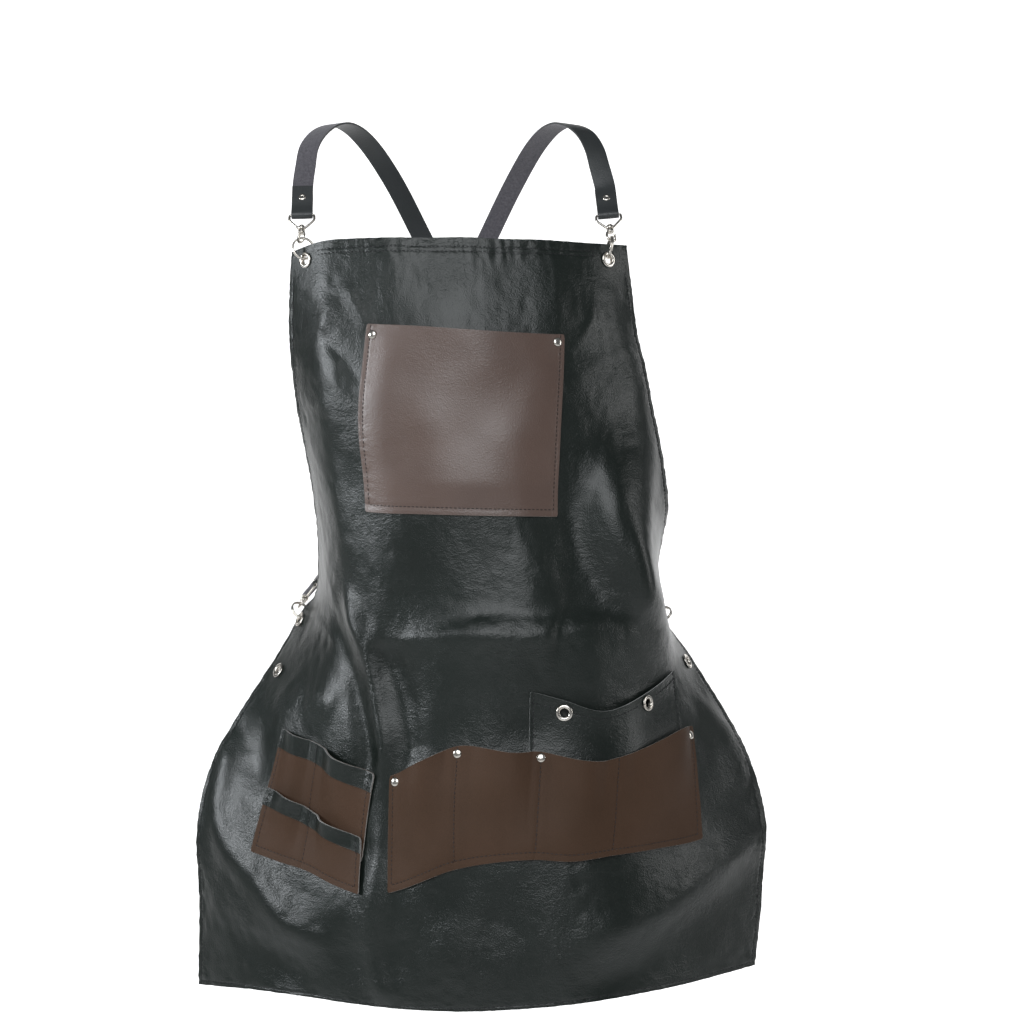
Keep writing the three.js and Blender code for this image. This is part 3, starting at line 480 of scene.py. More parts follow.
BLACK = leather("black_leather", (0.0058, 0.0092, 0.0074), (0.0098, 0.0142, 0.0120), (0.26, 0.37), 0.46,
                wrinkle=1.1)
BROWN = leather("brown_leather", (0.054, 0.0295, 0.0172), (0.074, 0.041, 0.0255), (0.52, 0.62), 0.16,
                grain=0.8, wrinkle=0.4)
# A lit copy of the brown leather for the bib pocket: its lighter base colour is painted sheen, and it is
# also glossier.
BIB_BROWN_PAINTED_SHEEN = leather("brown_leather_painted_sheen", (0.074, 0.043, 0.032), (0.104, 0.063, 0.048),
                    (0.34, 0.42), 0.9, grain=0.7, wrinkle=0.4)
STRAP = leather("strap_leather", (0.022, 0.025, 0.026), (0.036, 0.040, 0.041), (0.36, 0.5), 0.5,
                grain=0.8, wrinkle=0.5)
BACKING = suede("suede_backing", (0.050, 0.047, 0.056), (0.115, 0.108, 0.122))
BROWN_EDGE = raw_edge("brown_leather_edge", (0.20, 0.18, 0.165), (0.46, 0.43, 0.40))
BLACK_EDGE = raw_edge("black_leather_edge", (0.035, 0.036, 0.036), (0.12, 0.12, 0.12))
BAND_EDGE = raw_edge("facing_edge", (0.24, 0.25, 0.25), (0.50, 0.50, 0.49))
NICKEL = plated("nickel", (0.55, 0.51, 0.45), (0.78, 0.75, 0.70), (0.14, 0.30))
BLACK_THREAD = thread("black_thread", (0.006, 0.006, 0.007))
BROWN_THREAD = thread("brown_thread", (0.014, 0.009, 0.008))


# ---------------------------------------------------------------- meshes
def to_object(name, vertices, faces, materials, face_materials=None):
    mesh = bpy.data.meshes.new(name)
    metres = (np.asarray(vertices, float) * MM).tolist()
    mesh.from_pydata(metres, [], [list(map(int, face)) for face in faces])
    for material in materials:
        mesh.materials.append(material)
    if face_materials is not None:
        mesh.polygons.foreach_set("material_index", np.asarray(face_materials, np.int32))
    mesh.polygons.foreach_set("use_smooth", np.ones(len(mesh.polygons), bool))
    mesh.update()
    piece = bpy.data.objects.new(name, mesh)
    bpy.context.scene.collection.objects.link(piece)
    return piece


EDGE_ANGLE = 55  # degrees; a sharper edge than this is softened


def soften_edges(piece, width, segments=2):
    modifier = piece.modifiers.new("edges", "BEVEL")
    modifier.width = width * MM
    modifier.segments = segments
    modifier.limit_method = "ANGLE"
    modifier.angle_limit = math.radians(EDGE_ANGLE)
    modifier.harden_normals = True


def open_holes(flat, quads, holes):
    """Moves grid points out of round holes and drops the faces inside them."""
    inside = np.zeros(len(flat), bool)
    for x, y, radius in holes:
        offset = flat - (x, y)
        gap = np.linalg.norm(offset, axis=1)
        caught = gap < radius
        inside |= caught
        flat[caught] = (x, y) + offset[caught] / np.maximum(gap[caught], 0.01)[:, None] * radius
    return flat, quads[~inside[quads].all(1)]


def sheet_piece(name, u, v, place, thick, holes=(), materials=(), back_material=None, bevel=0.3):
    """A sheet of leather over a grid of flat places u, v. place(u, v) gives its middle points and
    normals, and thick(u, v) how far its front and its back are from them. Materials are those of
    the front, the back and the cut edge; back_material(u, v) may choose for each back face."""
    rows, columns = u.shape
    flat = np.stack([u.ravel(), v.ravel()], 1).astype(float)
    corner = (np.arange(rows - 1)[:, None] * columns + np.arange(columns - 1)[None, :]).ravel()
    quads = np.stack([corner, corner + columns, corner + columns + 1, corner + 1], 1)
    flat, quads = open_holes(flat, quads, holes)
    used, quads = np.unique(quads, return_inverse=True)
    quads = quads.reshape(-1, 4)
    flat = flat[used]
    middle, normal = place(flat[:, 0], flat[:, 1])
    front, back = thick(flat[:, 0], flat[:, 1])
    count = len(flat)
    vertices = np.concatenate([middle + normal * np.reshape(front, (-1, 1)),
                               middle - normal * np.reshape(back, (-1, 1))])
    edges = np.concatenate([quads[:, [k, (k + 1) % 4]] for k in range(4)])
    key = np.sort(edges, 1)
    _, first, times = np.unique(key, axis=0, return_index=True, return_counts=True)
    rim = edges[first[times == 1]]
    rim_faces = np.stack([rim[:, 1], rim[:, 0], rim[:, 0] + count, rim[:, 1] + count], 1)
    faces = np.concatenate([quads, quads[:, ::-1] + count, rim_faces])
    backs = np.ones(len(quads))
    if back_material:
        centre = flat[quads].mean(1)
        backs = back_material(centre[:, 0], centre[:, 1])
    indices = np.concatenate([np.zeros(len(quads), int), backs, np.full(len(rim_faces), 2)])
    piece = to_object(name, vertices, faces, materials, indices)
    soften_edges(piece, bevel)
    return piece


def cross_axes(axis):
    """An axis as a unit vector, with two at right angles to it."""
    axis = unit(vector(axis))
    side = unit(np.cross(axis, [0.31, 0.17, 0.93]))
    return axis, side, np.cross(axis, side)


def turned(side, other, step, steps):
    """side, turned towards other by a share of a full turn."""
    angle = 2 * math.pi * step / steps
    return side * math.cos(angle) + other * math.sin(angle)


def wall_faces(rings, sides, closed):
    """The faces between rings of points, closed into a loop or capped at both ends."""
    faces = []
    for k in range(rings if closed else rings - 1):
        here, there = k * sides, (k + 1) % rings * sides
        for step in range(sides):
            after = (step + 1) % sides
            faces.append((here + step, here + after, there + after, there + step))
    if not closed:
        faces.append(tuple(range(sides))[::-1])
        faces.append(tuple(range((rings - 1) * sides, rings * sides)))
    return faces


def lathe(name, outline, at, axis, material, segments=40):
    """A closed [radius, height] outline turned about an axis through a point."""
    axis, side, other = cross_axes(axis)
    vertices = []
    for step in range(segments):
        out = turned(side, other, step, segments)
        vertices += [np.array(at) + out * r + axis * h for r, h in outline]
    faces = [(face[0], *face[:0:-1]) for face in wall_faces(segments, len(outline), True)]
    return to_object(name, vertices, faces, [material])


def lathe_solid(name, profile, at, axis, material, segments=32):
    """A solid of revolution whose [radius, height] profile starts and ends on the axis."""
    axis, side, other = cross_axes(axis)
    rings = profile[1:-1]
    vertices = [np.array(at) + axis * profile[0][1], np.array(at) + axis * profile[-1][1]]
    for r, h in rings:
        for step in range(segments):
            vertices.append(np.array(at) + axis * h + r * turned(side, other, step, segments))
    faces = []
    last = 2 + (len(rings) - 1) * segments
    for step in range(segments):
        after = (step + 1) % segments
        faces.append((0, 2 + after, 2 + step))
        faces.append((1, last + step, last + after))
        for k in range(len(rings) - 1):
            low, high = 2 + k * segments, 2 + (k + 1) * segments
            faces.append((low + step, low + after, high + after, high + step))
    return to_object(name, vertices, faces, [material])


def tube(name, points, radius, material, sides=14, closed=False):
    """A round wire along points; radius may be one number or one for each point."""
    points = np.array(points, float)
    count = len(points)
    radii = np.broadcast_to(np.asarray(radius, float), (count,))
    if closed:
        tangents = unit(np.roll(points, -1, 0) - np.roll(points, 1, 0))
    else:
        tangents = unit(np.gradient(points, axis=0))
    normal = unit(np.cross(tangents[0], [0.3, 0.2, 0.93]))
    vertices = []
    for k in range(count):
        normal = unit(normal - tangents[k] * (normal @ tangents[k]))
        other = np.cross(tangents[k], normal)
        vertices += [points[k] + radii[k] * turned(normal, other, step, sides) for step in range(sides)]
    return to_object(name, vertices, wall_faces(count, sides, closed), [material])


def join(name, pieces):
    """Joins separate closed bodies into one piece."""
    bpy.ops.object.select_all(action="DESELECT")
    for piece in pieces:
        piece.select_set(True)
    bpy.context.view_layer.objects.active = pieces[0]
    bpy.ops.object.join()
    pieces[0].name = name
    return pieces[0]


def finish_piece(piece, body, slot, *nodes):
    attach(piece, body)
    if nodes:
        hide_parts(*nodes)
    return piece


# ---------------------------------------------------------------- stitching
STITCH_PITCH = 4.0
STITCH_LENGTH = 2.8
THREAD_R = 0.44


STITCH_HALF_SPAN = 0.6  # how far to each side of a stitch its direction is measured
STITCH_LEAN = 0.05


def stitch_template(sides=6, rings=4):
    """One stitch: a short rounded thread along X, with Z off the leather."""
    vertices = []
    for k in range(rings + 1):
        angle = math.pi * (0.06 + 0.88 * k / rings)
        along, r = -math.cos(angle) * STITCH_LENGTH / 2, math.sin(angle) ** 0.6 * THREAD_R
        for step in range(sides):
            turn = 2 * math.pi * step / sides
            vertices.append((along, r * math.cos(turn), r * math.sin(turn) + 0.12 * math.sin(angle)))
    return np.array(vertices), wall_faces(rings + 1, sides, False)


def stitch_piece(name, rows, material):
    """Stitches along rows; each row is points on the leather and the normals there."""
    shape, shape_faces = stitch_template()
    rng = np.random.default_rng(SEED + len(name))
    vertices, faces = [], []
    for points, normals in rows:
        along = distances(points)
        places = np.arange(STITCH_PITCH * 0.6, along[-1], STITCH_PITCH)
        at = at_places(places, along, points)
        ahead = at_places(places + STITCH_HALF_SPAN, along, points)
        behind = at_places(places - STITCH_HALF_SPAN, along, points)
        up = unit(at_places(places, along, normals))
        forward = unit(ahead - behind)
        for k in range(len(places)):
            across = np.cross(up[k], forward[k])
            lean = forward[k] + across * rng.normal(0, STITCH_LEAN)
            base = len(vertices)
            vertices += list(at[k] + shape @ np.stack([lean, across, up[k]]))
            faces += [tuple(base + i for i in face) for face in shape_faces]
    return to_object(name, vertices, faces, [material])


# ---------------------------------------------------------------- the panel
HOLE_R = 5.4  # of the leather, under an eyelet's rims
EYELET_CLEAR = 9  # no stitch is nearer to an eyelet's centre
HEM_SLOPE = 0.8
TOP_ROW_HALF, LOW_ROW_HALF = 135, 317
SIDE_ROW_START, SIDE_ROW_STOP = 34, 8
def spaced(length, fine_start, fine_end, fine, coarse):
    """Places from 0 to length, close together near the ends."""
    inner = length - fine_start - fine_end
    middle = max(2, round(inner / coarse))
    return np.concatenate([
        np.linspace(0, fine_start, max(2, round(fine_start / fine)), endpoint=False),
        np.linspace(fine_start, length - fine_end, middle, endpoint=False),
        np.linspace(length - fine_end, length, max(2, round(fine_end / fine))),
    ])


def panel_place(across, down):
    return leather_surface(across, down), surface_normals(leather_surface, across, down, PANEL_STEP)


def panel_thick(across, down):
    hem = np.zeros(len(across))
    for edge, gap in edge_gaps(across, down).items():
        hem = np.maximum(hem, 1 - smooth(gap, HEM_DEPTH[edge] - HEM_SLOPE, HEM_DEPTH[edge] + HEM_SLOPE))
    return PANEL_THICK / 2, PANEL_THICK / 2 + HEM_THICK * hem


def panel_back(across, down):
    """The hem is turned over to the back, so it shows leather; the rest shows the backing."""
    turned_over = np.zeros(len(across), bool)
    for edge, gap in edge_gaps(across, down).items():
        turned_over |= gap < HEM_DEPTH[edge]
    return np.where(turned_over, 0, 1)


def make_panel():
    down = spaced(APRON_LENGTH, 26, 16, 1.3, 4.1)
    share = spaced(2.0, 0.055, 0.055, 0.0045, 0.0128) - 1
    v = np.repeat(down[:, None], len(share), 1)
    u = share[None, :] * half_width(v.ravel()).reshape(v.shape)
    holes = [(x, y, HOLE_R) for x, y in EYELETS.values()]
    panel = sheet_piece("apron_leather", u, v, panel_place, panel_thick, holes,
                        [BLACK, BACKING, BLACK_EDGE], panel_back)
    parts = [name for name in frame["nodes"] if name.startswith("apron_panel")]
    return finish_piece(panel, "apron", "black_leather", *parts)


def panel_row(across, down, side):
    """A row of stitches' points on the front (side 1) or the back (-1) of the panel."""
    middle, normal = panel_place(across, down)
    front, back = panel_thick(across, down)
    offset = front if side > 0 else -np.asarray(back)
    return middle + normal * np.reshape(offset, (-1, 1)), normal * side


def panel_rows(side):
    """The rows of stitches round the hem, without those that would meet an eyelet."""
    rows = []
    for row in HEM_ROWS["top"]:
        rows.append((np.linspace(-TOP_ROW_HALF, TOP_ROW_HALF, 260), np.full(260, float(row))))
    for hand in (-1, 1):
        for row in HEM_ROWS["side"]:
            down = np.linspace(SIDE_ROW_START, APRON_LENGTH - SIDE_ROW_STOP, 520)
            rows.append((hand * (half_width(down) - row), down))
    for row in HEM_ROWS["bottom"]:
        rows.append((np.linspace(-LOW_ROW_HALF, LOW_ROW_HALF, 420), np.full(420, float(APRON_LENGTH - row))))
    clear = []
    for across, down in rows:
        spots = np.stack([across, down], 1)
        keep = np.ones(len(spots), bool)
        for spot in EYELETS.values():
            keep &= np.linalg.norm(spots - spot, axis=1) > EYELET_CLEAR
        clear.append(panel_row(across[keep], down[keep], side))
    return clear


# ---------------------------------------------------------------- pockets, as in the CAD part
POCKET_THICK = 1.2
SEAT = POCKET_THICK / 2 + 0.05  # where thread and rivets lie on a pocket
SEAM_LIFT = 2.4
LAYER_STEP = 2.2
MOUTH_BULGE = 9
MOUTH_ROUNDING = 1.25
SEAM_FLAT = 12
BAND_STEP = 1.6
BAND_HEIGHT = 17
CORNER_R = 3.5
COVER_EARLY, COVER_RISE = 26, 21  # the brown pocket starts to rise before the black one's edge
COVER_ABOVE = 6
LOWER_FROM, LOWER_FADE, LOWER_RISE = 520, 28, 2.2
POCKETS = {
    "bib": dict(top=[[-93, 83], [2, 88], [97, 90]], bottom=[[-121, 258], [-8, 258], [103, 260]],
                seams=[0, 1], width=190, height=172, taper=2.8, belly=2.2),
    "black": dict(top=[[81, 425], [120, 434], [160, 446], [209, 442], [257, 437]],
                  bottom=[[81, 574], [125, 576], [169, 575], [213, 572], [257, 574]],
                  seams=[0, 1], width=176, height=140, taper=1.2, belly=0),
    "tool": dict(top=[[-78, 484], [-38, 477], [5, 468], [61, 480], [94, 481], [140, 493], [174, 493],
                      [239, 486], [266, 490]],
                 bottom=[[-71, 592], [-36, 590], [3, 587], [50, 586], [87, 587], [128, 591], [170, 588],
                         [222, 585], [260, 589]],
                 seams=[0, 0.24, 0.5, 0.75, 1], width=340, height=105, taper=1.7, belly=0),
    "hip_upper": dict(top=[[-241, 467], [-212, 462], [-182, 460], [-148, 466], [-99, 481]],
                      bottom=[[-233, 552], [-201, 548], [-169, 550], [-137, 556], [-105, 562]],
                      seams=[0, 0.46, 1], width=142, height=86, taper=1.2, belly=0),
    "hip_lower": dict(top=[[-231, 520], [-195, 518], [-168, 523], [-144, 530], [-106, 539]],
                      bottom=[[-239, 585], [-205, 583], [-170, 582], [-137, 588], [-102, 593]],
                      seams=[0, 0.46, 1], width=130, height=62, taper=1.2, belly=0),
}


def edge_at(points, a):
    points = np.array(points, float)
    return sum(points[i] * w[:, None] for i, w in spline_weights(a * (len(points) - 1), len(points)))


def mouth_shape(pocket, a):
    """0 along the seams and 1 in the middle of each mouth."""
    seams = np.array(pocket["seams"], float)
    k = np.clip(np.searchsorted(seams, a, side="left"), 1, len(seams) - 1)
    width = seams[k] - seams[k - 1]
    flat = SEAM_FLAT / (pocket["width"] * width)
    f = np.clip(((a - seams[k - 1]) / width - flat) / (1 - 2 * flat), 0, 1)
    return np.sin(np.pi * f) ** MOUTH_ROUNDING


def black_lift(across, down):
    """How far the black pocket holds the brown one in front of it off the panel."""
    black = POCKETS["black"]
    top, bottom = black["top"], black["bottom"]
    a = np.clip((across - top[0][0]) / (top[4][0] - top[0][0]), 0, 1)
    b = np.clip((down - top[2][1] + COVER_ABOVE) / (bottom[2][1] - top[2][1] + COVER_ABOVE), 0, 1)
    cover = np.clip((across - top[0][0] + COVER_EARLY) / COVER_RISE, 0, 1)
    return cover * (LAYER_STEP + MOUTH_BULGE * mouth_shape(black, a) * (1 - b) ** black["taper"])


def lower_lift(across, down):
    """How far the upper hip pocket holds the lower one off the panel."""
    return LAYER_STEP + LOWER_RISE * (1 - np.clip((down - LOWER_FROM) / LOWER_FADE, 0, 1))


FLOORS = {"tool": black_lift, "hip_lower": lower_lift}
STITCH_INSET = 7
POCKET_NOISE = waves(SEED + 5, 30, 90, 30)
POCKET_WAVE = 0.14
SEAM_GROOVE, SIDE_GROOVE_WIDTH, SEAM_GROOVE_WIDTH = 1.6, 1.5, 2.2
POCKET_PUCKER, POCKET_PUCKER_REACH = 0.16, 6
SIDE_STEPS, ROW_STEPS = 90, 150


def bell(gap, width):
    return np.exp(-((gap / width) ** 2))


def stitch_lines(pocket, start=0.0):
    """Rows of stitches as (a, b) points: down the sides, along the bottom and down the seams."""
    inset_a, inset_b = STITCH_INSET / pocket["width"], STITCH_INSET / pocket["height"]
    b = np.linspace(start, 1 - inset_b, SIDE_STEPS)
    a = np.linspace(inset_a, 1 - inset_a, ROW_STEPS)
    lines = [(np.full(SIDE_STEPS, side), b) for side in (inset_a, 1 - inset_a)]
    lines.append((a, np.full(ROW_STEPS, 1 - inset_b)))
    return lines + [(np.full(SIDE_STEPS, seam), b) for seam in pocket["seams"][1:-1]]


def pocket_surface(pocket_name, a, b, extra=0.0):
    pocket = POCKETS[pocket_name]
    top, low = edge_at(pocket["top"], a), edge_at(pocket["bottom"], a)
    spots = top + (low - top) * b[:, None]
    across, down = spots[:, 0], spots[:, 1]
    open_share = (1 - np.clip(b, 0, 1)) ** pocket["taper"]
    belly = smooth(b, 0.2, 0.75) * smooth(1 - b, 0.03, 0.2)
    bulge = mouth_shape(pocket, a) * (MOUTH_BULGE * open_share + pocket["belly"] * belly)
    floor = FLOORS[pocket_name](across, down) if pocket_name in FLOORS else 0
    x, y = a * pocket["width"], b * pocket["height"]
    side = np.minimum(x, pocket["width"] - x)
    groove = -bell(side - STITCH_INSET, SIDE_GROOVE_WIDTH)
    groove -= bell(pocket["height"] - y - STITCH_INSET, SIDE_GROOVE_WIDTH)
    for seam in pocket["seams"][1:-1]:
        groove -= SEAM_GROOVE * bell(x - seam * pocket["width"], SEAM_GROOVE_WIDTH)
    wave = np.sin(y * 0.6 + 1.5 * np.sin(y * 0.17))
    pucker = POCKET_PUCKER * wave * bell(side - STITCH_INSET, POCKET_PUCKER_REACH)
    gentle = POCKET_WAVE * field(np.stack([x, y], 1), POCKET_NOISE)
    lift = SEAM_LIFT + floor + bulge + extra + GROOVE_DEPTH * groove + pucker + gentle
    return leather_surface(across, down, lift, fine=0.0)


def pocket_place(pocket_name, extra=0.0):
    width, height = POCKETS[pocket_name]["width"], POCKETS[pocket_name]["height"]

    def surface(x, y):
        return pocket_surface(pocket_name, x / width, y / height, extra)

    def place(x, y):
        sideways = surface(x + POCKET_STEP, y) - surface(x - POCKET_STEP, y)
        downwards = surface(x, y + POCKET_STEP) - surface(x, y - POCKET_STEP)
        return surface(x, y), unit(np.cross(downwards, sideways))

    return place


def rounded_corners(x, y, width, height, radius, corners):
    """Draws a grid's corners in to round ones."""
    for right, low in corners:
        cx = width - radius if right else radius
        cy = height - radius if low else radius
        dx, dy = x - cx, y - cy
        here = ((dx > 0) == right) & ((dy > 0) == low)
        far = np.hypot(dx, dy)
        square = np.maximum(np.abs(dx), np.abs(dy))
        scale = np.where(here & (far > 0), square / np.maximum(far, 1e-6), 1)
        inside = here & (square <= radius + 1e-6)
        x = np.where(inside, cx + dx * scale, x)
        y = np.where(inside, cy + dy * scale, y)
    return x, y


def even_thick(u, v):
    return POCKET_THICK / 2, POCKET_THICK / 2


def pocket_piece(pocket_name, piece_name, materials, cell=2.2, holes=(), extra=0.0, depth=None):
    pocket = POCKETS[pocket_name]
    width, height = pocket["width"], depth or pocket["height"]
    columns, rows = round(width / cell), max(8, round(height / cell))
    x, y = np.meshgrid(np.linspace(0, width, columns + 1), np.linspace(0, height, rows + 1))
    corners = [(False, False), (True, False)]
    if depth is None:
        corners += [(False, True), (True, True)]
    x, y = rounded_corners(x, y, width, height, CORNER_R, corners)
    return sheet_piece(piece_name, x, y, pocket_place(pocket_name, extra), even_thick, holes, materials)


def pocket_stitches(pocket_name, piece_name, material, start=0.0, extra=0.0, lines=None):
    pocket = POCKETS[pocket_name]
    place = pocket_place(pocket_name, extra)
    rows = []
    for a, b in lines or stitch_lines(pocket, start):
        middle, normal = place(a * pocket["width"], b * pocket["height"])
        rows.append((middle + normal * SEAT, normal))
    return stitch_piece(piece_name, rows, material)


# On a pocket, by the fraction along it and the fraction down it, as in the CAD part.
BIB_RIVETS = {"bib_rivet_left": (0.055, 0.06), "bib_rivet_right": (0.94, 0.045)}
TOOL_RIVETS = {
    "tool_rivet_1": (0.03, 0.065),
    "tool_rivet_2": (0.24, 0.065),
    "tool_rivet_3": (0.5, 0.06),
    "tool_rivet_4": (0.968, 0.065),
}
POCKET_EYELETS = {"eyelet_pocket_left": (0.235, 0.07), "eyelet_pocket_right": (0.735, 0.075)}


def make_pockets():
    brown = [BROWN, BACKING, BROWN_EDGE]
    # The bib pocket gets the lit copy of the brown leather, whose lighter base colour is painted sheen.
    painted_sheen_brown = [BIB_BROWN_PAINTED_SHEEN, BACKING, BROWN_EDGE]
    black = [BLACK, BACKING, BAND_EDGE]
    width, height = POCKETS["black"]["width"], POCKETS["black"]["height"]
    eyelets = [(a * width, b * height, HOLE_R) for a, b in POCKET_EYELETS.values()]
    made = {}
    for name, node, materials, slot, holes in (
            ("bib", "bib_pocket", painted_sheen_brown, "brown_leather", ()),
            ("black", "tool_pocket_black", black, "black_leather", eyelets),
            ("tool", "tool_pocket_brown", brown, "brown_leather", ())):
        piece = pocket_piece(name, node + "_leather", materials, holes=holes)
        made[name] = finish_piece(piece, "apron", slot, node)
    for level in ("upper", "lower"):
        name, node = f"hip_{level}", f"hip_pocket_{level}"
        piece = pocket_piece(name, node + "_leather", brown, cell=1.8)
        made[name] = finish_piece(piece, "apron", "brown_leather", node)
        band = pocket_piece(name, node + "_facing", black, cell=1.6, extra=BAND_STEP, depth=BAND_HEIGHT)
        made[name + "_band"] = finish_piece(band, "apron", "black_leather", node + "_band")
    return made


BLACK_ROW = 8  # the black pocket's mouth is stitched this far down
SIDE_SHARE = 0.5  # and its sides this far, as the brown pocket covers the rest


def black_pocket_lines():
    """Its stitches, with gaps where the row along the mouth would meet an eyelet."""
    black = POCKETS["black"]
    inset, row = STITCH_INSET / black["width"], BLACK_ROW / black["height"]
    down, along = np.linspace(0, SIDE_SHARE, SIDE_STEPS), np.linspace(0, 1, ROW_STEPS)
    lines = [(np.full(SIDE_STEPS, side), down) for side in (inset, 1 - inset)]
    gaps = np.min([np.abs(along - a) for a, _ in POCKET_EYELETS.values()], axis=0)
    clear = gaps > EYELET_CLEAR / black["width"]
    for part in np.split(np.arange(ROW_STEPS), np.flatnonzero(np.diff(clear.astype(int))) + 1):
        if clear[part[0]] and len(part) > 4:
            lines.append((along[part], np.full(len(part), row)))
    return lines


def make_stitching():
    made = []
    for side, name in ((1, "hem_stitching_front"), (-1, "hem_stitching_back")):
        made.append(stitch_piece(name, panel_rows(side), BLACK_THREAD))
    for name in ("bib", "tool"):
        made.append(pocket_stitches(name, f"{name}_pocket_stitching", BROWN_THREAD))
    made.append(pocket_stitches("black", "black_pocket_stitching", BLACK_THREAD, lines=black_pocket_lines()))
    hips = ("hip_upper", "hip_lower")
    for name in hips:
        start = BAND_HEIGHT / POCKETS[name]["height"]
        made.append(pocket_stitches(name, f"{name}_stitching", BROWN_THREAD, start=start))
    for name in hips:
        pocket = POCKETS[name]
        inset, top = STITCH_INSET / pocket["width"], np.linspace(0, BAND_HEIGHT / pocket["height"], 30)
        lines = [(np.full(30, a), top) for a in (inset, *pocket["seams"][1:-1], 1 - inset)]
        made.append(pocket_stitches(name, f"{name}_facing_stitching", BLACK_THREAD, extra=BAND_STEP,
                                    lines=lines))
    for piece in made:
        slot = "brown_leather" if piece.data.materials[0] == BROWN_THREAD else "black_leather"
        finish_piece(piece, "apron", slot)
    return {piece.name: piece for piece in made}


# ---------------------------------------------------------------- eyelets and rivets
EYELET_OUTLINE = [
    (4.0, 1.2), (4.0, -1.2), (4.25, -1.9), (4.9, -2.25), (5.8, -2.3), (6.9, -2.15), (7.3, -1.75),
    (7.1, -1.45), (5.4, -1.4), (4.9, -1.2), (4.9, 1.2), (5.4, 1.4), (7.3, 1.45), (7.55, 1.75),
    (7.4, 2.1), (6.8, 2.45), (5.9, 2.62), (5.0, 2.5), (4.3, 2.1),
]
RIVET_DEPTH = 6.5
# A cap rivet's head above its seat, and its foot above its depth.
RIVET_HEAD = [(1.5, 0), (3.9, 0), (4.15, 0.25), (4.05, 0.7), (3.4, 1.2), (2.2, 1.55), (1.0, 1.7), (0, 1.72)]
RIVET_FOOT = [(0, 0), (3.4, 0), (3.7, 0.5), (3.5, 0.9), (1.5, 1.0)]


def make_eyelet(name, middle, normal):
    eyelet = lathe(name + "_ring", EYELET_OUTLINE, middle[0], normal[0], NICKEL)
    finish_piece(eyelet, "apron", "nickel", name)


def make_eyelets():
    for name, (across, down) in EYELETS.items():
        across, down = vector([across]), vector([down])
        make_eyelet(name, drape(across, down), drape_normals(across, down))
    pocket, place = POCKETS["black"], pocket_place("black")
    for name, (a, b) in POCKET_EYELETS.items():
        make_eyelet(name, *place(vector([a * pocket["width"]]), vector([b * pocket["height"]])))


def make_rivets():
    profile = [(r, h - RIVET_DEPTH) for r, h in RIVET_FOOT] + [(r, h + SEAT) for r, h in RIVET_HEAD]
    for pocket_name, spots in (("bib", BIB_RIVETS), ("tool", TOOL_RIVETS)):
        pocket, place = POCKETS[pocket_name], pocket_place(pocket_name)
        for name, (a, b) in spots.items():
            middle, normal = place(vector([a * pocket["width"]]), vector([b * pocket["height"]]))
            rivet = lathe_solid(name + "_cap", profile, middle[0], normal[0], NICKEL)
            finish_piece(rivet, "apron", "nickel", name)


# ---------------------------------------------------------------- hardware at the straps' ends
RING_R = 10.5
RING_WIRE_R = 0.82
RING_STEP, RING_LEAN = 0.8, 0.1  # half the distance between the ring's two turns; how far its ends lean
RING_POINTS = 145
LOOP_BAR_R = 1.2
LOOP_TOP = 26
PLACES = ("front_left", "front_right", "waist_left", "waist_right")
# Outlines in a strap end's frame: across and along the pull for wires, radius and height for the
# turned parts.
HOOK_BEND = [(-0.6, 6.2), (-2.6, 5.3), (-4.1, 3.4), (-4.6, 0.8), (-4.0, -2.2), (-2.0, -3.8),
             (0.6, -4.1), (2.9, -3.6), (4.2, -2.5), (4.7, -1.3)]
HOOK_COLLAR = [(0, 4.9), (2.2, 4.9), (3.1, 5.3), (3.35, 5.9), (3.0, 6.5), (3.3, 7.1), (3.3, 8.0),
               (2.8, 8.6), (1.5, 8.7), (1.5, 12.7), (2.4, 12.9), (2.75, 13.4), (2.4, 14.1),
               (1.2, 14.5), (0, 14.6)]
GATE_LEVER = [(3.9, 4.4), (4.3, 3.1), (4.55, 1.6), (4.75, 0.0), (4.7, -0.5)]
GATE_PIVOT = (4.2, 3.2)
GATE_PIN_HALF, GATE_PIN_R = 1.5, 0.7
LOOP_SIDE = [(2.4, 10.9), (4.6, 12.6), (7.4, 15.4), (10.6, 18.8), (11.8, 20.8), (11.95, 23.2),
             (11.6, 25.2), (10.4, 26.0), (7.5, 26.05), (0, 26.05)]
LOOP_BOSS = [(1.95, 9.15), (3.2, 9.2), (3.75, 9.7), (3.85, 10.8), (3.75, 12.0), (3.2, 12.5),
             (1.95, 12.55)]


def end_frame(place):
    """A strap end's own frame, read from its joints: top is the ring's top wire, z along the
    pull, x along the bar, y towards the body, and hook_x towards the hook's gate."""
    tilt, swivel = joints[f"loop_tilt_{place}"], joints[f"hook_swivel_{place}"]
    bar = vector(tilt["pos_m"]) / MM
    x = unit(vector(tilt["axis"]))
    z = unit(vector(swivel["axis"]))
    if (bar - vector(swivel["pos_m"]) / MM) @ z < 0:
        z = -z
    x = unit(x - z * (x @ z))
    top = bar - z * LOOP_TOP
    gate = vector(joints[f"gate_open_{place}"]["pos_m"]) / MM - top
    hook_x = unit(gate - z * (gate @ z))
    return {"top": top, "bar": bar, "x": x, "y": np.cross(z, x), "z": z, "hook_x": hook_x}


ENDS = {place: end_frame(place) for place in PLACES}


def in_frame(end, points, sideways="x"):
    points = np.array(points, float)
    return end["top"] + points[:, :1] * end[sideways] + points[:, 1:] * end["z"]


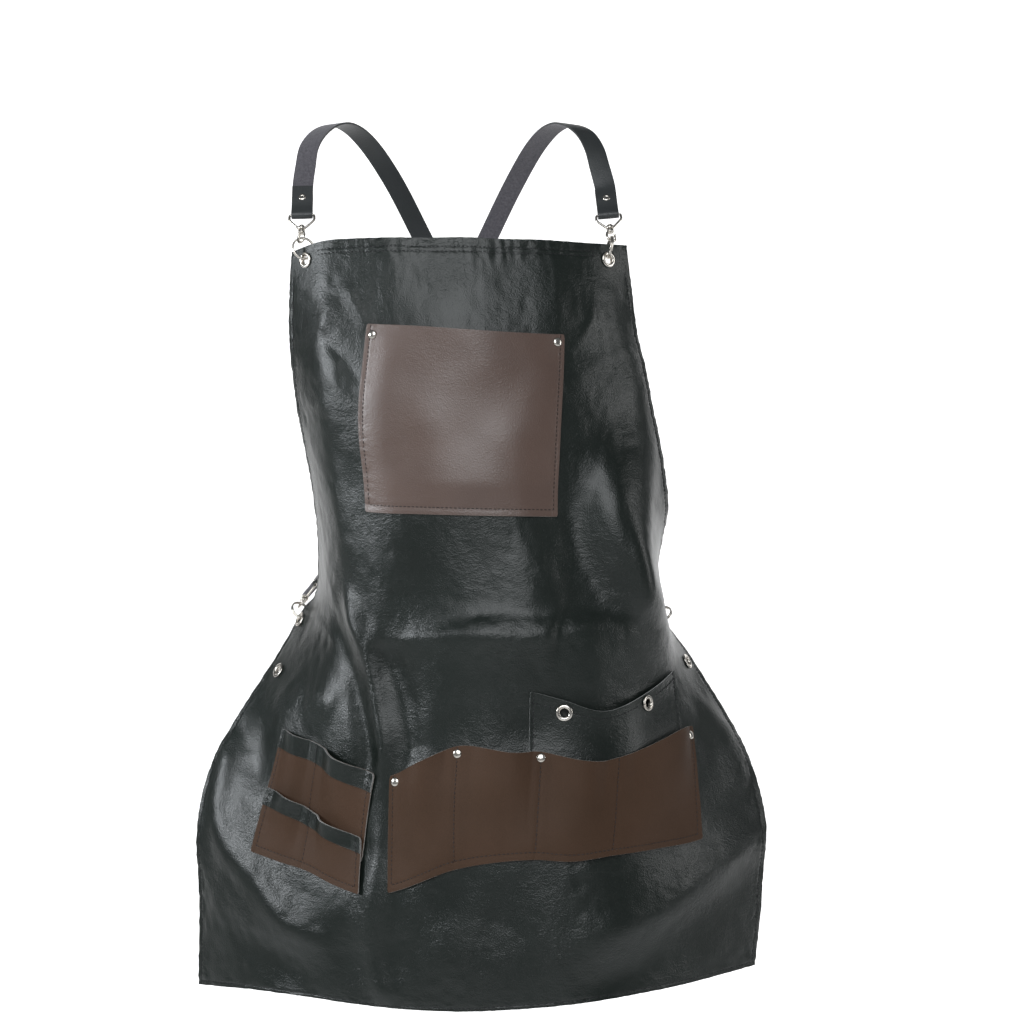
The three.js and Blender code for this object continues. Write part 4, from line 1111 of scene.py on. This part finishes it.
def make_ring(place):
    """A split ring: two turns of wire side by side, with the step where they cross."""
    node = frame["nodes"][f"split_ring_{place}"]
    points = np.array([vertex.co for vertex in node.data.vertices]) / MM
    centre = points.mean(0)
    _, _, (side, other, axis) = np.linalg.svd(points - centre)
    coil = []
    for k in range(RING_POINTS):
        turn = k / (RING_POINTS - 1) * 2
        angle = 2 * math.pi * turn
        step = RING_STEP * (2 * smooth(turn, 0.93, 1.07) - 1)
        lean = RING_LEAN * (1 - smooth(abs(turn - 1), 0.8, 1))
        out = side * math.cos(angle) + other * math.sin(angle)
        coil.append(centre + axis * step + (RING_R + lean - RING_LEAN) * out)
    ring = tube(f"split_ring_{place}_wire", coil, RING_WIRE_R, NICKEL, 12)
    finish_piece(ring, f"ring_{place}", "nickel", f"split_ring_{place}")


def tapered_wire(name, points, count, shares, radii, sides, place_points):
    """A wire through points, with radii at shares of its length."""
    radius = np.interp(np.linspace(0, 1, count), shares, radii)
    return tube(name, place_points(through_points(points, count)), radius, NICKEL, sides)


def make_hook(place):
    end = ENDS[place]

    def upright(points):
        return in_frame(end, points, "hook_x")

    wire = tapered_wire("bend", HOOK_BEND, 60, [0, 0.12, 0.5, 0.9, 1], [1.5, 1.3, 1.25, 1.2, 0.9], 14,
                        upright)
    collar = lathe_solid("collar", HOOK_COLLAR, end["top"], end["z"], NICKEL)
    hook = join(f"swivel_hook_{place}_cast", [wire, collar])
    finish_piece(hook, f"hook_{place}", "nickel", f"swivel_hook_{place}")
    lever = tapered_wire("lever", GATE_LEVER, 24, [0, 0.25, 1], [1.15, 0.95, 0.75], 12, upright)
    hinge_y = np.cross(end["z"], end["hook_x"])
    pivot = end["top"] + GATE_PIVOT[0] * end["hook_x"] + GATE_PIVOT[1] * end["z"]
    ends = [pivot - hinge_y * GATE_PIN_HALF, pivot + hinge_y * GATE_PIN_HALF]
    gate = join(f"hook_gate_{place}_lever", [lever, tube("pin", ends, GATE_PIN_R, NICKEL, 12)])
    finish_piece(gate, f"gate_{place}", "nickel", f"hook_gate_{place}")


def make_loop(place):
    """The trapezoid loop, with the boss that the hook's post turns in."""
    end = ENDS[place]
    outline = LOOP_SIDE + [(-x, z) for x, z in reversed(LOOP_SIDE[:-1])]
    bow = tube("bow", in_frame(end, through_points(outline, 110)), LOOP_BAR_R, NICKEL, 14)
    barrel = lathe("boss", LOOP_BOSS[::-1], end["top"], end["z"], NICKEL, 32)
    loop = join(f"strap_loop_{place}_bow", [bow, barrel])
    finish_piece(loop, f"loop_{place}", "nickel", f"strap_loop_{place}")


# ---------------------------------------------------------------- straps, as in the CAD part
STRAP_WIDTH = 20
STRAP_THICK = 2.2
FLAP_LENGTH = 32
GAP = 0.3
FOLD_R = LOOP_BAR_R + GAP + STRAP_THICK / 2
FLAP_OFFSET = STRAP_THICK / 2 + GAP
STRAP_RIVET_PLACE = 19
BUCKLE_PLACE = 0.66
BUCKLE_LENGTH = 20
BUCKLE_HALF = 12.6
TAIL_LENGTH = 78
STRAP_STEP = 20
KEEPER_PLACE = -46
KEEPER_WIDTH = 8
ROUTE_STEP = 3  # how far to each side a strap's direction is measured
FLAP_SIDES = {"front_left": 1, "front_right": -1, "waist_left": 1, "waist_right": 1}
ROUTES = {
    "left": ("front_left", "waist_right", [
        [-135, -28, -27, -0.2, -0.8, 0.7], [-117, -4, -4.5, -0.1, -0.2, 1], [-103, 20, -1.2, 0, 0.2, 1],
        [-86, 50, -12, 0, 0.7, 0.8], [-62, 82, -45, 0, 1, 0.35], [-34, 104, -98, 0, 1, 0.15],
        [2, 117, -170, 0, 1, 0.05], [40, 120, -240, 0.1, 1, 0], [78, 118, -305, 0.2, 1, 0],
        [126, 115, -362, 0.4, 0.9, 0], [170, 100, -412, 0.7, 0.7, 0.1]]),
    "right": ("front_right", "waist_left", [
        [136, -26, -24, 0.2, -0.8, 0.7], [118, -4, -4.5, 0.1, -0.2, 1], [103, 20, -1.2, 0, 0.2, 1],
        [86, 50, -12, 0, 0.7, 0.8], [63, 84, -45, 0, 1, 0.35], [35, 109, -98, 0, 1, 0.15],
        [0, 124, -170, 0, 1, 0.05], [-34, 126, -240, -0.1, 1, 0], [-66, 124, -305, -0.2, 1, 0],
        [-90, 123, -362, -0.4, 0.9, 0], [-121, 112, -408, -0.7, 0.7, 0.1]]),
}


def centripetal(points, per_span=24):
    """A centripetal Catmull-Rom curve through points, with the parameter of each sample."""
    points = np.array(points, float)
    padded = np.concatenate([[2 * points[0] - points[1]], points, [2 * points[-1] - points[-2]]])
    samples, places = [], []
    for k in range(len(points) - 1):
        p0, p1, p2, p3 = padded[k:k + 4]
        pairs = ((p0, p1), (p1, p2), (p2, p3))
        d0, d1, d2 = (max(np.linalg.norm(b - a) ** 0.5, 1e-4) for a, b in pairs)
        start = ((p1 - p0) / d0 - (p2 - p0) / (d0 + d1) + (p2 - p1) / d1) * d1
        stop = ((p2 - p1) / d1 - (p3 - p1) / (d1 + d2) + (p3 - p2) / d2) * d1
        for t in np.arange(per_span) / per_span:
            weights = (2 * t ** 3 - 3 * t ** 2 + 1, t ** 3 - 2 * t ** 2 + t, -2 * t ** 3 + 3 * t ** 2,
                       t ** 3 - t ** 2)
            samples.append(sum(w * p for w, p in zip(weights, (p1, start, p2, stop))))
            places.append(k + t)
    samples.append(points[-1])
    places.append(len(points) - 1)
    return np.array(samples), np.array(places)


class Route:
    """A strap's centre line over the shoulder, with its frame at any distance along it."""

    def __init__(self, side):
        start, finish, rows = ROUTES[side]
        rows = np.array(rows, float)
        centres = [self.leave(start), *rows[:, :3], self.leave(finish)]
        outs = np.array([-ENDS[start]["y"], *unit(rows[:, 3:]), -ENDS[finish]["y"]])
        self.line, places = centripetal(centres)
        self.outs = at_places(places, np.arange(len(outs)), outs)
        self.along = distances(self.line)
        self.length = self.along[-1]
        self.buckle_at = BUCKLE_PLACE * self.length

    @staticmethod
    def leave(place):
        end = ENDS[place]
        return end["bar"] + end["z"] * (FLAP_LENGTH + 2) + end["y"] * FLAP_OFFSET * 0.5 * FLAP_SIDES[place]

    def sample(self, values, distance):
        return at_places([distance], self.along, values)[0]

    def frame_at(self, distance):
        distance = min(max(distance, 0), self.length)
        low, high = max(distance - ROUTE_STEP, 0), min(distance + ROUTE_STEP, self.length)
        t = unit(self.sample(self.line, high) - self.sample(self.line, low))
        n = self.sample(self.outs, distance)
        n = unit(n - t * (n @ t))
        return self.sample(self.line, distance), t, n, np.cross(t, n)


def folded_end(bar, pull, out, across, flap_side):
    """Stations of a strap's end, from the flap's tip, round its bar, to where the strap leaves."""
    def station(along, away):
        return bar + pull * along + out * (away * flap_side), across

    stations = [station(along, FLAP_OFFSET) for along in (FLAP_LENGTH, 20, 9)]
    for turn in range(0, 181, 30):
        angle = math.radians(turn)
        stations.append(station(-FOLD_R * math.sin(angle), FOLD_R * math.cos(angle)))
    return stations + [station(9, -FLAP_OFFSET), station(20, -FLAP_OFFSET)]


def strap_stations(side):
    """A strap's route, the stations of its upper and lower lengths, and its buckle's frame."""
    route = Route(side)
    start_place, finish_place = ROUTES[side][:2]
    at, t, n, x = route.frame_at(route.buckle_at)

    def in_buckle(along, away, sideways=0.0):
        return at + t * along + n * away + x * sideways

    def end_of(place):
        end = ENDS[place]
        return folded_end(end["bar"], end["z"], -end["y"], end["x"], FLAP_SIDES[place])

    upper = end_of(start_place)
    upper_end = route.buckle_at - FLAP_LENGTH - 6
    steps = round(upper_end / STRAP_STEP)
    for i in range(steps + 1):
        place = route.frame_at(upper_end * i / steps)
        upper.append((place[0], place[3]))
    upper += folded_end(in_buckle(0, 0), -t, n, x, -1)[::-1]

    lower = end_of(finish_place)
    lower_length = route.length - (route.buckle_at + BUCKLE_LENGTH + 18)
    steps = round(lower_length / STRAP_STEP)
    for i in range(steps + 1):
        place = route.frame_at(route.length - lower_length * i / steps)
        lower.append((place[0], -place[3]))
    under = LOOP_BAR_R + GAP + STRAP_THICK / 2 + 0.2
    over = FOLD_R + STRAP_THICK + 0.8
    through_buckle = (
        (BUCKLE_LENGTH + 8, -under * 0.7), (BUCKLE_LENGTH, -under), (BUCKLE_LENGTH - 5, -under + 0.8),
        (BUCKLE_LENGTH / 2, 1.4), (4, over - 1), (-2, over), (-12, over - 0.5))
    lower += [(in_buckle(along, away), -x) for along, away in through_buckle]
    for past in range(25, TAIL_LENGTH + 1, 13):
        place = route.frame_at(route.buckle_at - past)
        lower.append((place[0] + place[2] * (STRAP_THICK + 2), -place[3]))
    return route, upper, lower, in_buckle


STRAP_HALF = STRAP_WIDTH / 2
WAVER, CROWN, STRAP_GROOVE = 0.25, 0.16, 0.12
STRAP_GROOVE_AT, STRAP_GROOVE_WIDTH = 8.3, 0.5
RIBBON_STEP = 0.9  # how far to each side a ribbon's direction is measured
TIP_REACH, TIP_LENGTH = 9, 30
HOLE_FIRST, HOLE_PITCH, HOLE_COUNT, STRAP_HOLE_R = 18, 22, 6, 1.9


def ribbon(name, stations, materials, holes=(), pointed=False, cell=1.25):
    """A strap through stations. holes are (distance from its last end, radius)."""
    line, places = centripetal([at for at, _ in stations], 16)
    across = np.array([direction for _, direction in stations])
    across = at_places(places, np.arange(len(across)), across)
    along = distances(line)
    length = along[-1]

    def place(s, t):
        sideways = unit(at_places(t, along, across))
        ahead, behind = (at_places(t + step, along, line) for step in (RIBBON_STEP, -RIBBON_STEP))
        normal = unit(np.cross(unit(ahead - behind), sideways))
        waver = WAVER * np.sin(t * 0.031 + 1.7) * np.sin(t * 0.011)
        return at_places(t, along, line) + sideways * s[:, None] + normal * waver[:, None], normal

    def thick(s, t):
        crown = CROWN * (1 - (s / STRAP_HALF) ** 2)
        groove = STRAP_GROOVE * bell(np.abs(s) - STRAP_GROOVE_AT, STRAP_GROOVE_WIDTH)
        half = STRAP_THICK / 2 - STRAP_GROOVE + crown - groove
        return half, half

    columns, rows = round(STRAP_WIDTH / cell), round(length / cell)
    s, t = np.meshgrid(np.linspace(-STRAP_HALF, STRAP_HALF, columns + 1), np.linspace(0, length, rows + 1))
    if pointed:
        reach = TIP_REACH * (1 - np.sqrt(np.clip(1 - (s / STRAP_HALF) ** 2, 0, 1)))
        t = t - reach * smooth(t, length - TIP_LENGTH, length)
    round_holes = [(0.0, length - back, radius) for back, radius in holes]
    return sheet_piece(name, s, t, place, thick, round_holes, materials, bevel=0.35)


def make_straps():
    """The left strap's upper length is worn suede side out, and the others smooth side out."""
    made = {}
    for side, (start_place, finish_place, _) in ROUTES.items():
        route, upper, lower, in_buckle = strap_stations(side)
        back_smooth = [BACKING, STRAP, BLACK_EDGE]
        faces = [STRAP, BACKING, BLACK_EDGE] if side == "left" else back_smooth
        top = ribbon(f"strap_upper_{side}_leather", upper, faces)
        made[f"upper_{side}"] = finish_piece(top, "apron", "strap_leather", f"strap_upper_{side}")
        holes = [(HOLE_FIRST + HOLE_PITCH * k, STRAP_HOLE_R) for k in range(HOLE_COUNT)]
        low = ribbon(f"strap_lower_{side}_leather", lower, back_smooth, holes, pointed=True)
        finish_piece(low, "apron", "strap_leather", f"strap_lower_{side}")
        make_buckle(side, in_buckle)
        make_keeper(side, route)
        for place in (start_place, finish_place):
            make_strap_rivet(place)
    return made


# A rivet's rolled head, by radius and height above the strap's two layers.
TUBE_RIVET_HEAD = [(1.1, 0.5), (1.45, 0.85), (2.2, 0.95), (3.0, 0.75), (3.5, 0.3), (3.5, 0), (1.9, -0.1)]


def make_strap_rivet(place):
    """A tube rivet: a ring-shaped rolled head on each side of the two layers."""
    end = ENDS[place]
    half = [(r, STRAP_THICK + 0.1 + h) for r, h in TUBE_RIVET_HEAD]
    outline = half + [(r, -h) for r, h in reversed(half)]
    at = end["bar"] + end["z"] * STRAP_RIVET_PLACE
    rivet = lathe(f"strap_rivet_{place}_tube", outline[::-1], at, -end["y"], NICKEL, 32)
    finish_piece(rivet, "apron", "nickel", f"strap_rivet_{place}")


def round_box(left, right, low, high, radius, turn_step):
    """Points round a box with round corners, each with its direction outwards."""
    points = []
    for x, y, start in ((right - radius, high - radius, 0), (left + radius, high - radius, 90),
                        (left + radius, low + radius, 180), (right - radius, low + radius, 270)):
        for turn in range(0, 91, turn_step):
            angle = math.radians(start + turn)
            out_x, out_y = math.cos(angle), math.sin(angle)
            points.append((x + radius * out_x, y + radius * out_y, out_x, out_y))
    return points


BUCKLE_CORNER = 2.4
BUCKLE_CELL = 1.5
PRONG = [(0.6, 1.9), (4, 2.1), (10, 2.25), (16, 2.4), (21.5, 2.55)]
PRONG_EYE = [(1.55, -1.5), (2.45, -1.5), (2.55, 0), (2.45, 1.5), (1.55, 1.5)]


def make_buckle(side, in_buckle):
    """A bar buckle of round wire with soft corners, and its prong."""
    corners = round_box(0, BUCKLE_LENGTH, -BUCKLE_HALF, BUCKLE_HALF, BUCKLE_CORNER, 15)
    outline = [spot[:2] for spot in corners]
    dense = []
    for spot, after in zip(outline, outline[1:] + outline[:1]):
        count = max(1, round(math.dist(spot, after) / BUCKLE_CELL))
        dense += [tuple(a + (b - a) * i / count for a, b in zip(spot, after)) for i in range(count)]
    points = [in_buckle(x, 0, y) for x, y in dense]
    wire = tube(f"buckle_frame_{side}_wire", points, LOOP_BAR_R, NICKEL, 14, closed=True)
    finish_piece(wire, "apron", "nickel", f"buckle_frame_{side}")
    shank = tapered_wire("shank", [in_buckle(*spot) for spot in PRONG], 30,
                         [0, 0.9, 1], [0.95, 0.9, 0.5], 12, np.array)
    across = in_buckle(0, 0, 1) - in_buckle(0, 0)
    eye = lathe("eye", PRONG_EYE[::-1], in_buckle(0, 0), across, NICKEL, 28)
    prong = join(f"buckle_prong_{side}_wire", [shank, eye])
    finish_piece(prong, f"prong_{side}", "nickel", f"buckle_prong_{side}")


KEEPER_WALL, KEEPER_CORNER, KEEPER_EDGE = 1.2, 1.3, 0.3


def make_keeper(side, route):
    """A leather band round both layers of strap."""
    at, t, n, _ = route.frame_at(route.buckle_at + KEEPER_PLACE)
    sideways = np.cross(n, t)
    low, high = -STRAP_THICK / 2 - 0.6, STRAP_THICK * 1.5 + 2.8
    middle, half_wall, edge = (low + high) / 2, KEEPER_WALL / 2, KEEPER_EDGE
    half_w, half_h = STRAP_WIDTH / 2 + 0.8 + half_wall, (high - low + KEEPER_WALL) / 2
    side_up = [(-half_wall, edge), (edge - half_wall, 0), (half_wall - edge, 0), (half_wall, edge)]
    section = side_up + [(off, KEEPER_WIDTH - along) for off, along in reversed(side_up)]
    loop = round_box(-half_w, half_w, -half_h, half_h, KEEPER_CORNER, 18)
    vertices = [at + sideways * (x + nx * off) + n * (middle + y + ny * off) + t * along
                for x, y, nx, ny in loop for off, along in section]
    faces = wall_faces(len(loop), len(section), True)
    keeper = to_object(f"strap_keeper_{side}_band", vertices, faces, [STRAP])
    finish_piece(keeper, f"keeper_{side}", "strap_leather", f"strap_keeper_{side}")


# ---------------------------------------------------------------- build
panel = make_panel()
pockets = make_pockets()
stitching = make_stitching()
make_eyelets()
make_rivets()
for place in PLACES:
    make_ring(place)
    make_hook(place)
    make_loop(place)
straps = make_straps()


# ---------------------------------------------------------------- studio, in metres
LIGHTS = {  # place, what it points at, size, power and colour
    "front_high": ((-0.3, -2.6, 0.85), (0.03, -0.1, -0.45), (2.2, 1.9), 52, (0.95, 0.975, 1.0)),
    "window_left": ((-1.8, -0.62, 0.0), (-0.05, -0.1, -0.25), (0.7, 0.5), 18, (0.92, 0.96, 1.0)),
    "edge_right": ((1.9, -0.35, -0.1), (0.03, -0.1, -0.45), (0.35, 1.2), 6, (1, 1, 1)),
}
WORLD_COLOUR, WORLD_STRENGTH = (0.92, 0.96, 1.0, 1), 0.12
# The backdrop's section as (Y, Z) in millimetres: a floor that curves up into a wall.
BACKDROP = [(-6000, -1500), (4200, -1500), (4900, -1330), (5300, -900), (5450, -200), (5500, 4500)]
BACKDROP_HALF = 6000
GLOW = {"From Min": 0.3, "From Max": 2.2, "To Min": 0.15, "To Max": 0.95}


def area_light(name, at, towards, size, power, color):
    light = bpy.data.objects.new(name, bpy.data.lights.new(name, "AREA"))
    light.data.shape = "RECTANGLE"
    light.data.size, light.data.size_y = size
    light.data.energy = power
    light.data.color = color
    bpy.context.scene.collection.objects.link(light)
    light.location = at
    light.rotation_euler = Vector(vector(towards) - vector(at)).to_track_quat("-Z", "Y").to_euler()


def studio_white():
    """White paper, whose glow grows with the distance behind the object."""
    material, tree, coordinates = new_material("studio_white")
    axes = add_node(tree, "ShaderNodeSeparateXYZ", {"Vector": coordinates})
    glow = add_node(tree, "ShaderNodeMapRange", {"Value": axes.outputs["Y"], **GLOW})
    shade(tree, {
        "Base Color": (0.9, 0.9, 0.9, 1),
        "Roughness": 0.9,
        "Emission Color": (1, 1, 1, 1),
        "Emission Strength": glow.outputs["Result"],
    })
    return material


def make_studio():
    count = len(BACKDROP)
    vertices = [(x, y, z) for x in (-BACKDROP_HALF, BACKDROP_HALF) for y, z in BACKDROP]
    faces = [(k, k + 1, k + 1 + count, k + count) for k in range(count - 1)]
    to_object("studio_floor", vertices, faces, [studio_white()])
    world = bpy.data.worlds.new("studio")
    world.use_nodes = True
    background = world.node_tree.nodes["Background"]
    feed(world.node_tree, background, {"Color": WORLD_COLOUR, "Strength": WORLD_STRENGTH})
    bpy.context.scene.world = world
    for name, light in LIGHTS.items():
        area_light(name, *light)


make_studio()
bpy.context.scene.view_settings.view_transform = "Standard"
